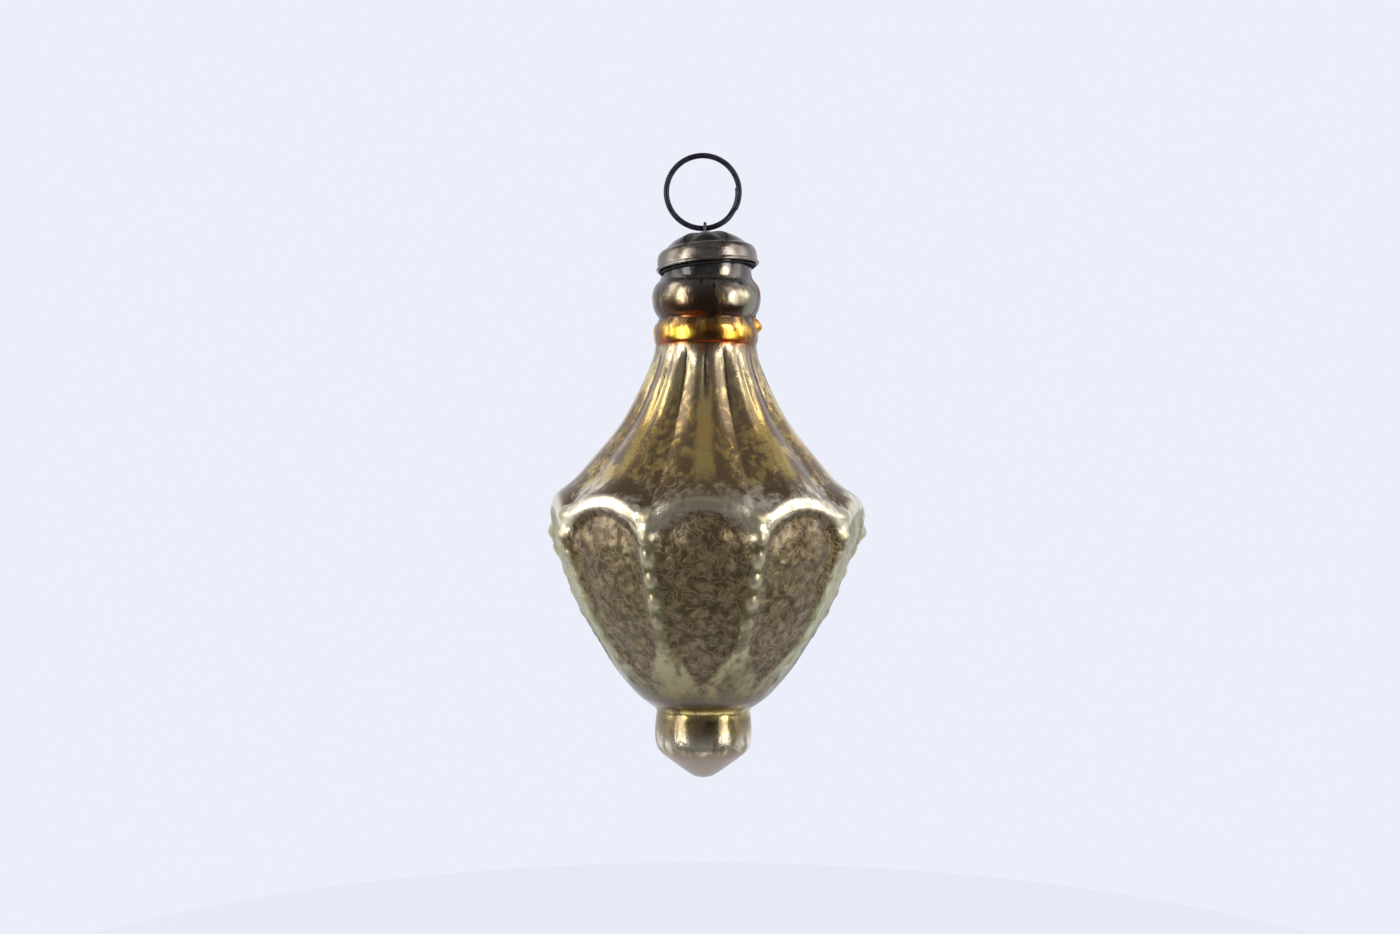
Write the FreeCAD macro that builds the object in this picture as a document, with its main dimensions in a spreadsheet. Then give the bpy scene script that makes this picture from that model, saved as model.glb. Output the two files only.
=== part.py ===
import FreeCAD, Part
import math
import os
import Sketcher

# Blown glass christmas ornament with a pressed cap, a spring clip, a wire hanger ring and a bead of cement.
# The origin is the point inside the top of the ring where a hook bears. Lengths are in millimetres.

os.makedirs("parts", exist_ok=True)
doc = FreeCAD.newDocument("ornament")
vec = FreeCAD.Vector

size_rows = [
    ("ring_mean_radius", 6.55, "hanger ring, to the middle of its wire"),
    ("ring_wire", 1.0, "diameter of the ring's iron wire"),
    ("ring_lap_angle", 36, "how far the two ends of the ring lie side by side"),
    ("ring_lap_place", 332, "where the lap begins, from the right, turning towards the top"),
    ("ring_bend_angle", 30, "stretch in which one end moves aside to the lap"),
    ("ring_lap_gap", 0.06, "gap between the lapped ends"),
    ("ring_lap_inset", 0.18, "how far the lapped end lies inside the ring's round"),
    ("clip_wire", 0.55, "diameter of the spring clip's wire"),
    ("eye_gap", 0.12, "clearance round the ring's wire in the eye"),
    ("eye_offset", 0.4, "how far the eye stands to the right of the ring's lowest point"),
    ("ring_rest_gap", 0.1, "between the ring's wire and the top of the cap"),
    ("clip_bend", 0.6, "radius of the bends in the clip"),
    ("clip_shoulder_half", 3.4, "half the width of the clip's shoulders"),
    ("clip_shoulder_gap", 0.15, "between the clip's shoulders and the cap"),
    ("clip_wall_gap", 0.3, "between the ends of the legs and the bulge of the neck"),
    ("cap_radius", 9.0, "outside of the cap's smooth band"),
    ("cap_sheet", 0.35, "thickness of the pressed sheet"),
    ("cap_height", 6.3, "from the lip to the top of the dome"),
    ("cap_band_height", 3.9, "from the lip to the band's upper edge"),
    ("cap_dome_radius", 8.1, "foot of the dome"),
    ("cap_hole_radius", 1.6, "hole for the clip"),
    ("cap_lip_roll", 0.28, "how far the rolled lip stands out"),
    ("cap_tilt", 4.5, "the cap sits crooked by this angle"),
    ("petal_count", 8, "embossed petals on the dome"),
    ("petal_length", 4.6, "length of a petal"),
    ("petal_width", 2.7, "width of a petal"),
    ("petal_rise", 0.5, "height of a petal over the dome"),
    ("petal_place", 5.0, "distance of a petal's middle from the cap's axis"),
    ("cap_rest_gap", 0.2, "between the dome and the mouth of the neck, where they are nearest"),
    ("cement_thickness", 1.05, "diameter of the bead of cement under the lip"),
    ("cement_radius", 8.5, "ring of the bead, to the middle of its section"),
    ("cement_gap", 0.03, "between the bead and the glass and the lip"),
    ("glass_wall", 1.2, "wall of the blown glass, at its thinnest"),
    ("glass_offset", 0.7, "the glass hangs to the right of the ring's middle"),
    ("glass_lean", 0.4, "the glass leans by this angle, its foot to the left"),
    ("mouth_radius", 7.6, "outer edge of the mouth, under the cap"),
    ("collar_radius", 8.1, "straight collar under the cap"),
    ("collar_foot_drop", 4.8, "foot of the collar; the neck's drops are measured down from the mouth"),
    ("bulge_radius", 9.8, "round bulge of the neck"),
    ("bulge_start_radius", 8.5, "edge where the bulge starts"),
    ("bulge_start_drop", 5.5, "height of that edge"),
    ("bulge_drop", 8.4, "widest place of the bulge"),
    ("groove_radius", 8.45, "groove between the bulge and the thin ring"),
    ("groove_drop", 12.2, "height of that groove"),
    ("band_radius", 9.4, "thin ring of the neck"),
    ("band_drop", 15.6, "widest place of the thin ring"),
    ("waist_radius", 9.05, "groove where the flare starts"),
    ("waist_drop", 17.0, "height of that groove"),
    ("glass_height", 94.6, "from the mouth to the tip; drops below the waist are shares of it"),
    ("flare_high_radius", 11.5, "flare, crest of the flutes, upper station"),
    ("flare_high_drop", 0.2516, "place of that station"),
    ("flare_mid_radius", 16.4, "flare, middle station"),
    ("flare_mid_drop", 0.3436, "place of that station"),
    ("flare_low_radius", 23.9, "flare, lower station"),
    ("flare_low_drop", 0.4334, "place of that station"),
    ("roll_radius", 27.4, "crest of the roll over the arches"),
    ("roll_drop", 0.482, "place of that crest"),
    ("lobe_count", 9, "arched panels, and as many beaded ribs"),
    ("rib_angle", 9.2, "direction of the first rib, from the right, turning away from the viewer"),
    ("flute_depth", 1.2, "creases between the flutes over the ribs"),
    ("half_flute_depth", 0.55, "weaker crease in the middle of each flute near the neck"),
    ("flute_crest_share", 0.25, "how far the crests between two creases stay back, as a share"),
    ("flare_steps", 8, "steps of the loft between the waist and the roll"),
    ("crease_start_share", 0.35, "depth of the creases at the waist, as a share of their full depth"),
    ("crease_full_share", 0.325, "where the creases get their full depth, as a share of the flare"),
    ("half_crease_end_share", 0.7, "where the weaker creases end, as a share of the flare"),
    ("roll_crease_share", 0.8, "creases under the roll, as a share of their full depth"),
    ("rib_crease_share", 0.3, "creases at the top of the ribs, as a share of their full depth"),
    ("rib_meet_drop", 0.6, "where the roll meets the ground of the ribs, below the belly's top"),
    ("loft_end_drop", 2.4, "where the loft ends inside the belly, below the belly's top"),
    ("loft_end_inset", 0.4, "how far the loft's end lies inside the belly"),
    ("loft_end_crease", 0.1, "creases at the loft's end"),
    ("belly_top_radius", 27.8, "ground of the ribs, under the roll"),
    ("belly_top_drop", 0.5285, "place of that station"),
    ("belly_high_radius", 25.6, "lower body, upper station"),
    ("belly_high_drop", 0.5951, "place of that station"),
    ("belly_mid_radius", 21.9, "lower body, middle station"),
    ("belly_mid_drop", 0.686, "place of that station"),
    ("belly_low_radius", 16.5, "lower body, lower station"),
    ("belly_low_drop", 0.777, "place of that station"),
    ("foot_radius", 9.4, "lower end of the body"),
    ("foot_drop", 0.8605, "place of that end"),
    ("panel_half_angle", 16.3, "half the width of a panel, as an angle about the glass's axis"),
    ("panel_top_drop", 0.4905, "top of the panels' arches"),
    ("panel_spring_drop", 0.555, "where the arches spring"),
    ("panel_side_drop", 0.6818, "where the panels' sides start to close"),
    ("panel_point_drop", 0.8192, "lower point of the panels"),
    ("panel_depth", 1.2, "how deep the panels lie in the glass"),
    ("panel_taper_share", 0.86, "width where the sides start to close, as a share of the full width"),
    ("arch_haunch_share", 0.72, "haunch of the arch, out from its middle, as a share of half the width"),
    ("arch_haunch_rise_share", 0.74, "haunch of the arch, up from its spring, as a share of its height"),
    ("panel_cut_reach", 2.0, "how far the panels' cutters stand out of the roll"),
    ("bead_count", 8, "beads on a rib"),
    ("bead_top_drop", 0.5328, "middle of the uppermost bead"),
    ("bead_last_drop", 0.8087, "middle of the lowest bead"),
    ("bead_top_radius", 1.5, "radius of the uppermost bead"),
    ("bead_last_radius", 0.9, "radius of the lowest bead"),
    ("bead_top_rise", 1.1, "how far the uppermost bead stands out"),
    ("bead_last_rise", 0.35, "how far the lowest bead stands out"),
    ("bead_crowding", 0.05, "how much closer the beads get towards the foot, as a share of their pitch"),
    ("bead_foot_share", 1.15, "radius of a bead's foot, as a share of its radius"),
    ("bead_crown_share", 0.55, "radius of a bead's crown, as a share of its radius"),
    ("bead_root", 0.8, "how deep a bead is rooted in the glass"),
    ("bead_seam_turn", 40, "turns a bead's seam away from the crease on which it sits"),
    ("finial_neck_radius", 8.35, "groove over the finial"),
    ("finial_neck_drop", 0.8689, "place of that groove"),
    ("finial_radius", 8.65, "widest place of the finial"),
    ("finial_drop", 0.9133, "where that is"),
    ("finial_edge_radius", 8.45, "where the finial's side ends"),
    ("finial_edge_drop", 0.9376, "where that is"),
    ("finial_rounding", 0.12, "how far that edge is rounded out, as a share of its length"),
    ("cone_radius", 7.1, "where the finial's cone starts, after a rounded edge"),
    ("cone_drop", 0.9619, "where that is"),
    ("finial_tip_radius", 1.5, "flat at the tip"),
    ("hollow_steps", 5, "steps of the hollow inside the belly"),
]

sheet = doc.addObject("Spreadsheet::Sheet", "sizes")
for row, (alias, value, note) in enumerate(size_rows, start=1):
    sheet.set(f"A{row}", note)
    sheet.set(f"B{row}", str(value))
    sheet.setAlias(f"B{row}", alias)
doc.recompute()


def size(alias):
    return float(sheet.get(alias))


# Heights that follow from the ring and its eye
eye_height = -(2 * size("ring_mean_radius") - size("ring_wire") / 2)
cap_top_height = eye_height - size("ring_wire") / 2 - size("ring_rest_gap")
cap_tilt_drop = size("mouth_radius") * math.sin(math.radians(size("cap_tilt")))
dome_height = size("cap_height") - size("cap_band_height")
mouth_height = cap_top_height - dome_height - size("cap_sheet") - cap_tilt_drop - size("cap_rest_gap")
glass_place = FreeCAD.Placement(
    vec(size("glass_offset"), 0, mouth_height),
    FreeCAD.Rotation(vec(0, 1, 0), size("glass_lean")),
)
cap_place = FreeCAD.Placement(
    vec(size("eye_offset"), 0, cap_top_height),
    FreeCAD.Rotation(vec(0, 1, 0), -size("cap_tilt")),
)


def at(radius, height, degrees):
    turn = math.radians(degrees)
    return vec(radius * math.cos(turn), radius * math.sin(turn), height)


def bound(item, **cells):
    for name, cell in cells.items():
        item.setExpression(name, cell)
    return item


def shaped(label, shape):
    feature = doc.addObject("Part::Feature", label)
    feature.Label = label
    feature.Shape = shape
    return feature


def swept_wire(label, path, wire_cell, heading):
    spine = shaped(f"{label}_path", path)
    section = doc.addObject("Part::Circle", f"{label}_section")
    bound(section, Radius=f"sizes.{wire_cell} / 2")
    turn = FreeCAD.Rotation(vec(0, 0, 1), heading)
    section.Placement = FreeCAD.Placement(path.OrderedVertexes[0].Point, turn)
    sweep = doc.addObject("Part::Sweep", label)
    sweep.Label = label
    sweep.Sections = [section]
    sweep.Spine = (spine, [f"Edge{number + 1}" for number in range(len(path.Edges))])
    sweep.Solid = True
    sweep.Frenet = True
    return sweep


def turned(label, edges):
    outline = shaped(f"{label}_outline", Part.Face(Part.Wire(edges)))
    turning = doc.addObject("Part::Revolution", label)
    turning.Label = label
    turning.Source = outline
    turning.Axis = vec(0, 0, 1)
    turning.Base = vec(0, 0, 0)
    turning.Angle = 360
    turning.Solid = True
    return turning


# Hanger ring: one turn of wire, with one end led aside by two tangent arcs so that it laps the other
def around_ring(degrees, inset, aside):
    turn = math.radians(degrees)
    radius = size("ring_mean_radius") - inset
    return vec(radius * math.cos(turn), aside, radius * math.sin(turn))


def along_ring(degrees):
    turn = math.radians(degrees)
    return vec(-math.sin(turn), 0, math.cos(turn))


def arc_from(start, heading, end):
    chord = end - start
    side = heading - chord * (heading.dot(chord) / chord.dot(chord))
    rise = chord.Length / 2 * math.tan(heading.getAngle(chord) / 2)
    return Part.Arc(start, (start + end) / 2 + side.normalize() * rise, end).toShape()


def tangent_pair(start, start_heading, end, end_heading):
    span = end - start
    both = start_heading + end_heading
    spread = 1 - start_heading.dot(end_heading)
    reach = (math.sqrt(span.dot(both) ** 2 + 2 * spread * span.dot(span)) - span.dot(both)) / (2 * spread)
    meeting = (start + start_heading * reach + end - end_heading * reach) / 2
    meeting_heading = (end - end_heading * reach - start - start_heading * reach).normalize()
    return [arc_from(start, start_heading, meeting), arc_from(meeting, meeting_heading, end)]


def bend_hanger_ring():
    start = size("ring_lap_place")
    plain_end = start + 360 - size("ring_bend_angle")
    lap_start = start + 360
    lap_end = lap_start + size("ring_lap_angle")
    inset = size("ring_lap_inset")
    aside = size("ring_wire") + size("ring_lap_gap")
    plain_turns = (start, (start + plain_end) / 2, plain_end)
    lap_turns = (lap_start, (lap_start + lap_end) / 2, lap_end)
    plain = [around_ring(turn, 0, 0) for turn in plain_turns]
    lap = [around_ring(turn, inset, aside) for turn in lap_turns]
    bend = tangent_pair(plain[-1], along_ring(plain_end), lap[0], along_ring(lap_start))
    return Part.Wire([Part.Arc(*plain).toShape()] + bend + [Part.Arc(*lap).toShape()])


ring_heading = along_ring(size("ring_lap_place"))
hanger_ring = swept_wire("hanger_ring", bend_hanger_ring(), "ring_wire", ring_heading)
bound(hanger_ring, **{"Placement.Base.z": "sizes.ring_wire / 2 - sizes.ring_mean_radius"})


# Spring clip: one wire, with the eye over the cap and two legs spread inside the neck
def rounded_path(points, radius):
    edges = []
    last = points[0]
    for before, corner, after in zip(points, points[1:], points[2:]):
        arriving = (corner - before).normalize()
        leaving = (after - corner).normalize()
        half_turn = arriving.getAngle(leaving) / 2
        back = radius * math.tan(half_turn)
        start = corner - arriving * back
        end = corner + leaving * back
        inward = (leaving - arriving).normalize()
        middle = corner + inward * (radius / math.cos(half_turn) - radius)
        edges.append(Part.makeLine(last, start))
        edges.append(Part.Arc(start, middle, end).toShape())
        last = end
    edges.append(Part.makeLine(last, points[-1]))
    return edges


def dome_sag(radius):
    return dome_height * (radius / size("cap_dome_radius")) ** 2


def bend_spring_clip():
    half_wire = size("clip_wire") / 2
    half_eye = size("ring_wire") / 2 + size("eye_gap") + half_wire
    half_shoulder = size("clip_shoulder_half")
    shoulder = cap_top_height - eye_height - size("cap_sheet") - size("clip_shoulder_gap") - half_wire
    foot = mouth_height - eye_height - size("bulge_drop")
    half_foot = size("bulge_radius") - size("glass_wall") - size("clip_wall_gap") - half_wire
    right = [
        vec(0, half_eye, 0),
        vec(0, half_eye, shoulder - dome_sag(half_eye)),
        vec(0, half_shoulder, shoulder - dome_sag(half_shoulder)),
        vec(0, half_foot, foot),
    ]
    left = [vec(0, -point.y, point.z) for point in reversed(right)]
    eye = Part.Arc(vec(0, -half_eye, 0), vec(0, 0, half_eye), vec(0, half_eye, 0)).toShape()
    bend = size("clip_bend")
    return Part.Wire(rounded_path(left, bend) + [eye] + rounded_path(right, bend))


clip_path = bend_spring_clip()
clip_ends = clip_path.OrderedVertexes
clip_heading = (clip_ends[1].Point - clip_ends[0].Point).normalize()
spring_clip = swept_wire("spring_clip", clip_path, "clip_wire", clip_heading)
spring_clip.Placement = FreeCAD.Placement(vec(size("eye_offset"), 0, eye_height), FreeCAD.Rotation())


# Cap: turned blank pressed to a thin shell, with a hole, a rolled lip and petals embossed in the dome
def origin_part(body, role):
    return next(item for item in body.Origin.OriginFeatures if item.Role == role)


def cap_profile(body, label, inset_cell):
    inset = size(inset_cell) if inset_cell else 0.0
    deeper = f" + sizes.{inset_cell}" if inset_cell else ""
    sketch = body.newObject("Sketcher::SketchObject", label)
    sketch.AttachmentSupport = (origin_part(body, "XZ_Plane"), [""])
    sketch.MapMode = "FlatFace"
    foot = size("cap_dome_radius")
    side = size("cap_radius") - inset
    foot_drop = dome_height + inset
    lip_drop = size("cap_height") + inset
    round_radius = (foot**2 + dome_height**2) / (2 * dome_height)
    foot_turn = math.asin((round_radius - dome_height) / round_radius)
    normal = vec(0, 0, 1)
    dome_round = Part.Circle(vec(0, -inset - round_radius, 0), normal, round_radius)
    dome = Part.ArcOfCircle(dome_round, foot_turn, math.pi / 2)
    corner_centre = vec(foot, foot - side - foot_drop, 0)
    corner = Part.ArcOfCircle(Part.Circle(corner_centre, normal, side - foot), 0, math.pi / 2)
    band = Part.LineSegment(vec(side, corner_centre.y, 0), vec(side, -lip_drop, 0))
    floor = Part.LineSegment(vec(side, -lip_drop, 0), vec(0, -lip_drop, 0))
    axis = Part.LineSegment(vec(0, -lip_drop, 0), vec(0, -inset, 0))
    dome_id, corner_id, band_id, floor_id, axis_id = sketch.addGeometry([dome, corner, band, floor, axis])
    rules = [
        ("PointOnObject", dome_id, 3, -2),
        ("Coincident", dome_id, 1, corner_id, 2),
        ("Coincident", corner_id, 1, band_id, 1),
        ("Coincident", band_id, 2, floor_id, 1),
        ("Coincident", floor_id, 2, axis_id, 1),
        ("Coincident", axis_id, 2, dome_id, 2),
        ("Vertical", corner_id, 3, corner_id, 2),
        ("Horizontal", corner_id, 3, corner_id, 1),
        ("Vertical", band_id),
        ("Horizontal", floor_id),
        ("PointOnObject", floor_id, 2, -2),
    ]
    dimensions = [
        (("DistanceX", -1, 1, dome_id, 1, foot), "sizes.cap_dome_radius"),
        (("DistanceY", dome_id, 1, -1, 1, foot_drop), f"sizes.cap_height - sizes.cap_band_height{deeper}"),
        (("DistanceX", -1, 1, band_id, 1, side), f"sizes.cap_radius{deeper.replace('+', '-')}"),
        (("DistanceY", band_id, 2, -1, 1, lip_drop), f"sizes.cap_height{deeper}"),
    ]
    if inset_cell:
        rules.append(("PointOnObject", dome_id, 2, -2))
        dimensions.append((("DistanceY", dome_id, 2, -1, 1, inset), f"sizes.{inset_cell}"))
    else:
        rules.append(("Coincident", dome_id, 2, -1, 1))
    for rule in rules:
        sketch.addConstraint(Sketcher.Constraint(*rule))
    for rule, cell in dimensions:
        number = sketch.addConstraint(Sketcher.Constraint(*rule))
        sketch.setExpression(f"Constraints[{number}]", cell)
    return sketch


def emboss(body, kind, label, outset):
    petal = body.newObject(f"PartDesign::{kind}", label)
    bound(
        petal,
        Radius2=f"sizes.petal_length / 2 - {outset}",
        Radius3=f"sizes.petal_width / 2 - {outset}",
        Radius1=f"2 * sizes.petal_rise - {outset}",
    )
    slope = math.degrees(math.atan2(2 * dome_sag(size("petal_place")), size("petal_place")))
    sink = dome_sag(size("petal_place")) + size("petal_rise")
    petal.Placement = FreeCAD.Placement(
        vec(size("petal_place"), 0, -sink), FreeCAD.Rotation(vec(0, 1, 0), slope)
    )
    doc.recompute()
    pattern = body.newObject("PartDesign::PolarPattern", f"{label}_round")
    pattern.Originals = [petal]
    pattern.Axis = (origin_part(body, "Z_Axis"), [""])
    pattern.Angle = 360
    bound(pattern, Occurrences="sizes.petal_count")
    body.Tip = pattern
    doc.recompute()


def turn_in_cap(body, kind, label, profile):
    turning = body.newObject(f"PartDesign::{kind}", label)
    turning.Profile = profile
    turning.ReferenceAxis = (profile, ["V_Axis"])
    turning.Angle = 360
    body.Tip = turning
    doc.recompute()


def press_cap():
    body = doc.addObject("PartDesign::Body", "cap")
    body.Label = "cap"
    turn_in_cap(body, "Revolution", "cap_blank", cap_profile(body, "cap_skin", ""))
    emboss(body, "AdditiveEllipsoid", "petal_raised", "0")
    turn_in_cap(body, "Groove", "cap_inside", cap_profile(body, "cap_lining", "cap_sheet"))
    emboss(body, "SubtractiveEllipsoid", "petal_hollow", "sizes.cap_sheet")
    roll = body.newObject("PartDesign::AdditiveTorus", "cap_lip")
    bound(roll, Radius1="sizes.cap_radius", Radius2="sizes.cap_lip_roll")
    bound(roll, **{"Placement.Base.z": "sizes.cap_lip_roll - sizes.cap_height"})
    body.Tip = roll
    doc.recompute()
    hole_sketch = body.newObject("Sketcher::SketchObject", "cap_hole_round")
    hole_sketch.AttachmentSupport = (origin_part(body, "XY_Plane"), [""])
    hole_sketch.MapMode = "FlatFace"
    hole_sketch.addGeometry(Part.Circle(vec(0, 0, 0), vec(0, 0, 1), size("cap_hole_radius")))
    hole_sketch.addConstraint(Sketcher.Constraint("Coincident", 0, 3, -1, 1))
    number = hole_sketch.addConstraint(Sketcher.Constraint("Radius", 0, size("cap_hole_radius")))
    hole_sketch.setExpression(f"Constraints[{number}]", "sizes.cap_hole_radius")
    hole = body.newObject("PartDesign::Pocket", "cap_hole")
    hole.Profile = hole_sketch
    hole.Midplane = True
    bound(hole, Length="4 * sizes.cap_sheet + 2 * sizes.petal_rise")
    body.Tip = hole
    doc.recompute()
    return body


cap = press_cap()
cap.Placement = cap_place


# Glass: neck and finial are turned outlines, the fluted flare is a loft, panels are cut and beads added
def neck_edges():
    mouth = vec(size("mouth_radius"), 0, 0)
    collar_top = vec(size("collar_radius"), 0, -(size("collar_radius") - size("mouth_radius")))
    collar_foot = vec(size("collar_radius"), 0, -size("collar_foot_drop"))
    bulge_start = vec(size("bulge_start_radius"), 0, -size("bulge_start_drop"))
    bulge = vec(size("bulge_radius"), 0, -size("bulge_drop"))
    groove = vec(size("groove_radius"), 0, -size("groove_drop"))
    band = vec(size("band_radius"), 0, -size("band_drop"))
    waist = vec(size("waist_radius"), 0, -size("waist_drop"))
    return [
        Part.makeLine(mouth, collar_top),
        Part.makeLine(collar_top, collar_foot),
        Part.makeLine(collar_foot, bulge_start),
        Part.Arc(bulge_start, bulge, groove).toShape(),
        Part.Arc(groove, band, waist).toShape(),
    ]


def station(name):
    return vec(size(f"{name}_radius"), 0, -size(f"{name}_drop"))


def body_drop(name):
    return size(f"{name}_drop") * size("glass_height")


def body_station(name):
    return vec(size(f"{name}_radius"), 0, -body_drop(name))


def smooth_curve(points):
    curve = Part.BSplineCurve()
    curve.interpolate(points)
    return curve


belly_names = ["belly_top", "belly_high", "belly_mid", "belly_low", "foot"]
flare_names = ["flare_high", "flare_mid", "flare_low", "roll"]
flare_curve = smooth_curve([station("waist")] + [body_station(name) for name in flare_names])
belly_curve = smooth_curve([body_station(name) for name in belly_names])


def curve_radius(curve, drop):
    if drop <= -curve.StartPoint.z:
        return curve.StartPoint.x
    if drop >= -curve.EndPoint.z:
        return curve.EndPoint.x
    level = Part.LineSegment(vec(0, 0, -drop), vec(2 * size("roll_radius"), 0, -drop))
    return curve.intersectCC(level)[0].X


def fluted_wire(radius, height, crease, half_crease):
    lobes = int(size("lobe_count"))
    edges = []
    for number in range(2 * lobes):
        step = 180 / lobes
        start = size("rib_angle") + step * number
        rib_radius = radius - crease
        middle_radius = radius - half_crease
        crest_radius = radius - size("flute_crest_share") * max(crease - half_crease, 0)
        ends = (rib_radius, middle_radius) if number % 2 == 0 else (middle_radius, rib_radius)
        arc = Part.Arc(
            at(ends[0], height, start),
            at(crest_radius, height, start + step / 2),
            at(ends[1], height, start + step),
        )
        edges.append(arc.toShape())
    return Part.Wire(edges)


def flute_sections():
    waist = size("waist_drop")
    roll = body_drop("roll")
    belly = body_drop("belly_top")
    steps = int(size("flare_steps"))
    depth = size("flute_depth")
    start = size("crease_start_share")
    sections = [(size("waist_radius"), waist, 0.0, 0.0)]
    for step in range(1, steps):
        share = step / steps
        drop = waist + (roll - waist) * share
        crease = depth * min(start + (1 - start) * share / size("crease_full_share"), 1.0)
        half_crease = size("half_flute_depth") * max(1 - share / size("half_crease_end_share"), 0.0)
        sections.append((curve_radius(flare_curve, drop), drop, crease, half_crease))
    sections.append((size("roll_radius"), roll, depth, 0.0))
    sections.append((size("roll_radius"), (roll + belly) / 2, depth * size("roll_crease_share"), 0.0))
    meeting = belly + size("rib_meet_drop")
    sections.append((size("belly_top_radius"), meeting, depth * size("rib_crease_share"), 0.0))
    end = belly + size("loft_end_drop")
    end_radius = curve_radius(belly_curve, end) - size("loft_end_inset")
    sections.append((end_radius, end, size("loft_end_crease"), 0.0))
    return sections


def finial_edges():
    foot = body_station("foot")
    neck = body_station("finial_neck")
    widest = body_station("finial")
    edge = body_station("finial_edge")
    cone = body_station("cone")
    tip = vec(size("finial_tip_radius"), 0, -size("glass_height"))
    rounding = (edge + cone) / 2 + vec(edge.x - cone.x, 0, cone.z - edge.z) * size("finial_rounding")
    return [
        Part.makeLine(foot, neck),
        Part.Arc(neck, widest, edge).toShape(),
        Part.Arc(edge, rounding, cone).toShape(),
        Part.makeLine(cone, tip),
        Part.makeLine(tip, vec(0, 0, tip.z)),
    ]


def closed_outline(edges):
    first = edges[0].Vertexes[0].Point
    last = edges[-1].Vertexes[-1].Point
    on_axis = vec(0, 0, last.z)
    shut = [Part.makeLine(vec(0, 0, first.z), first)] + edges
    if last.x > 1e-6:
        shut.append(Part.makeLine(last, on_axis))
    shut.append(Part.makeLine(on_axis, vec(0, 0, first.z)))
    return shut


def closed_turn(edges):
    return Part.Face(Part.Wire(closed_outline(edges))).revolve(vec(0, 0, 0), vec(0, 0, 1), 360)


def neck_outline():
    waist = station("waist")
    spigot_top = waist - vec(size("flute_depth"), 0, 0)
    spigot_foot = spigot_top - vec(0, 0, size("glass_wall"))
    spigot = [Part.makeLine(waist, spigot_top), Part.makeLine(spigot_top, spigot_foot)]
    return closed_outline(neck_edges() + spigot)


def lower_outline():
    roll = body_station("roll") - vec(2 * size("flute_depth"), 0, 0)
    under_roll = Part.makeLine(roll, body_station("belly_top"))
    return closed_outline([under_roll, belly_curve.toShape()] + finial_edges())


def lofted_flare():
    sections = []
    for number, (radius, drop, crease, half_crease) in enumerate(flute_sections()):
        sections.append(shaped(f"flare_section_{number}", fluted_wire(radius, -drop, crease, half_crease)))
    flare = doc.addObject("Part::Loft", "flare")
    flare.Sections = sections
    flare.Solid = True
    return flare


def rib_turn(number):
    return size("rib_angle") + 360 / size("lobe_count") * number


def panel_outline(radius):
    half = radius * math.sin(math.radians(size("panel_half_angle")))
    taper = half * size("panel_taper_share")
    haunch = half * size("arch_haunch_share")
    spring = -body_drop("panel_spring")
    side = -body_drop("panel_side")
    top = vec(radius, 0, -body_drop("panel_top"))
    point = vec(radius, 0, -body_drop("panel_point"))
    haunch_height = spring + (top.z - spring) * size("arch_haunch_rise_share")
    return Part.Wire(
        [
            Part.Arc(vec(radius, -half, spring), vec(radius, -haunch, haunch_height), top).toShape(),
            Part.Arc(top, vec(radius, haunch, haunch_height), vec(radius, half, spring)).toShape(),
            Part.makeLine(vec(radius, half, spring), vec(radius, taper, side)),
            Part.makeLine(vec(radius, taper, side), point),
            Part.makeLine(point, vec(radius, -taper, side)),
            Part.makeLine(vec(radius, -taper, side), vec(radius, -half, spring)),
        ]
    )


def panel_floor():
    depth = size("panel_depth")
    floor = [body_station(name) - vec(depth, 0, 0) for name in belly_names]
    top = vec(floor[0].x, 0, depth - body_drop("panel_top"))
    return closed_turn([Part.makeLine(top, floor[0]), smooth_curve(floor).toShape()])


def panel_cutters():
    reach = size("roll_radius") + size("panel_cut_reach")
    inset = size("foot_radius") / 2
    outline = panel_outline(reach)
    narrowing = FreeCAD.Matrix()
    narrowing.scale(1, inset / reach, 1)
    inner = outline.transformGeometry(narrowing)
    inner.translate(vec(inset - reach, 0, 0))
    wedge = Part.makeLoft([inner, outline], True, True).cut(panel_floor())
    cutters = []
    for number in range(int(size("lobe_count"))):
        cutter = wedge.copy()
        cutter.rotate(vec(0, 0, 0), vec(0, 0, 1), rib_turn(number + 0.5))
        cutters.append(cutter)
    return cutters


def between(first, last, share):
    return first + (last - first) * share


def rib_beads():
    count = int(size("bead_count"))
    crowding = size("bead_crowding")
    root = size("bead_root")
    beads = []
    for number in range(count):
        share = number / max(count - 1, 1)
        place = share * (1 + crowding * (1 - share))
        drop = between(body_drop("bead_top"), body_drop("bead_last"), place)
        radius = between(size("bead_top_radius"), size("bead_last_radius"), share)
        rise = between(size("bead_top_rise"), size("bead_last_rise"), share)
        level = max(drop, body_drop("belly_top") + root)
        ground = curve_radius(belly_curve, level)
        slope = math.degrees(math.atan2(ground - curve_radius(belly_curve, level + root), root))
        foot = radius * size("bead_foot_share")
        crown = radius * size("bead_crown_share")
        bead = Part.makeCone(foot, crown, rise + root, vec(0, 0, -root), vec(0, 0, 1))
        bead.rotate(vec(0, 0, 0), vec(0, 0, 1), size("bead_seam_turn"))
        bead.rotate(vec(0, 0, 0), vec(0, 1, 0), 90 + slope)
        bead.translate(vec(ground, 0, -drop))
        for rib in range(int(size("lobe_count"))):
            placed = bead.copy()
            placed.rotate(vec(0, 0, 0), vec(0, 0, 1), rib_turn(rib))
            beads.append(placed)
    return beads


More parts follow.
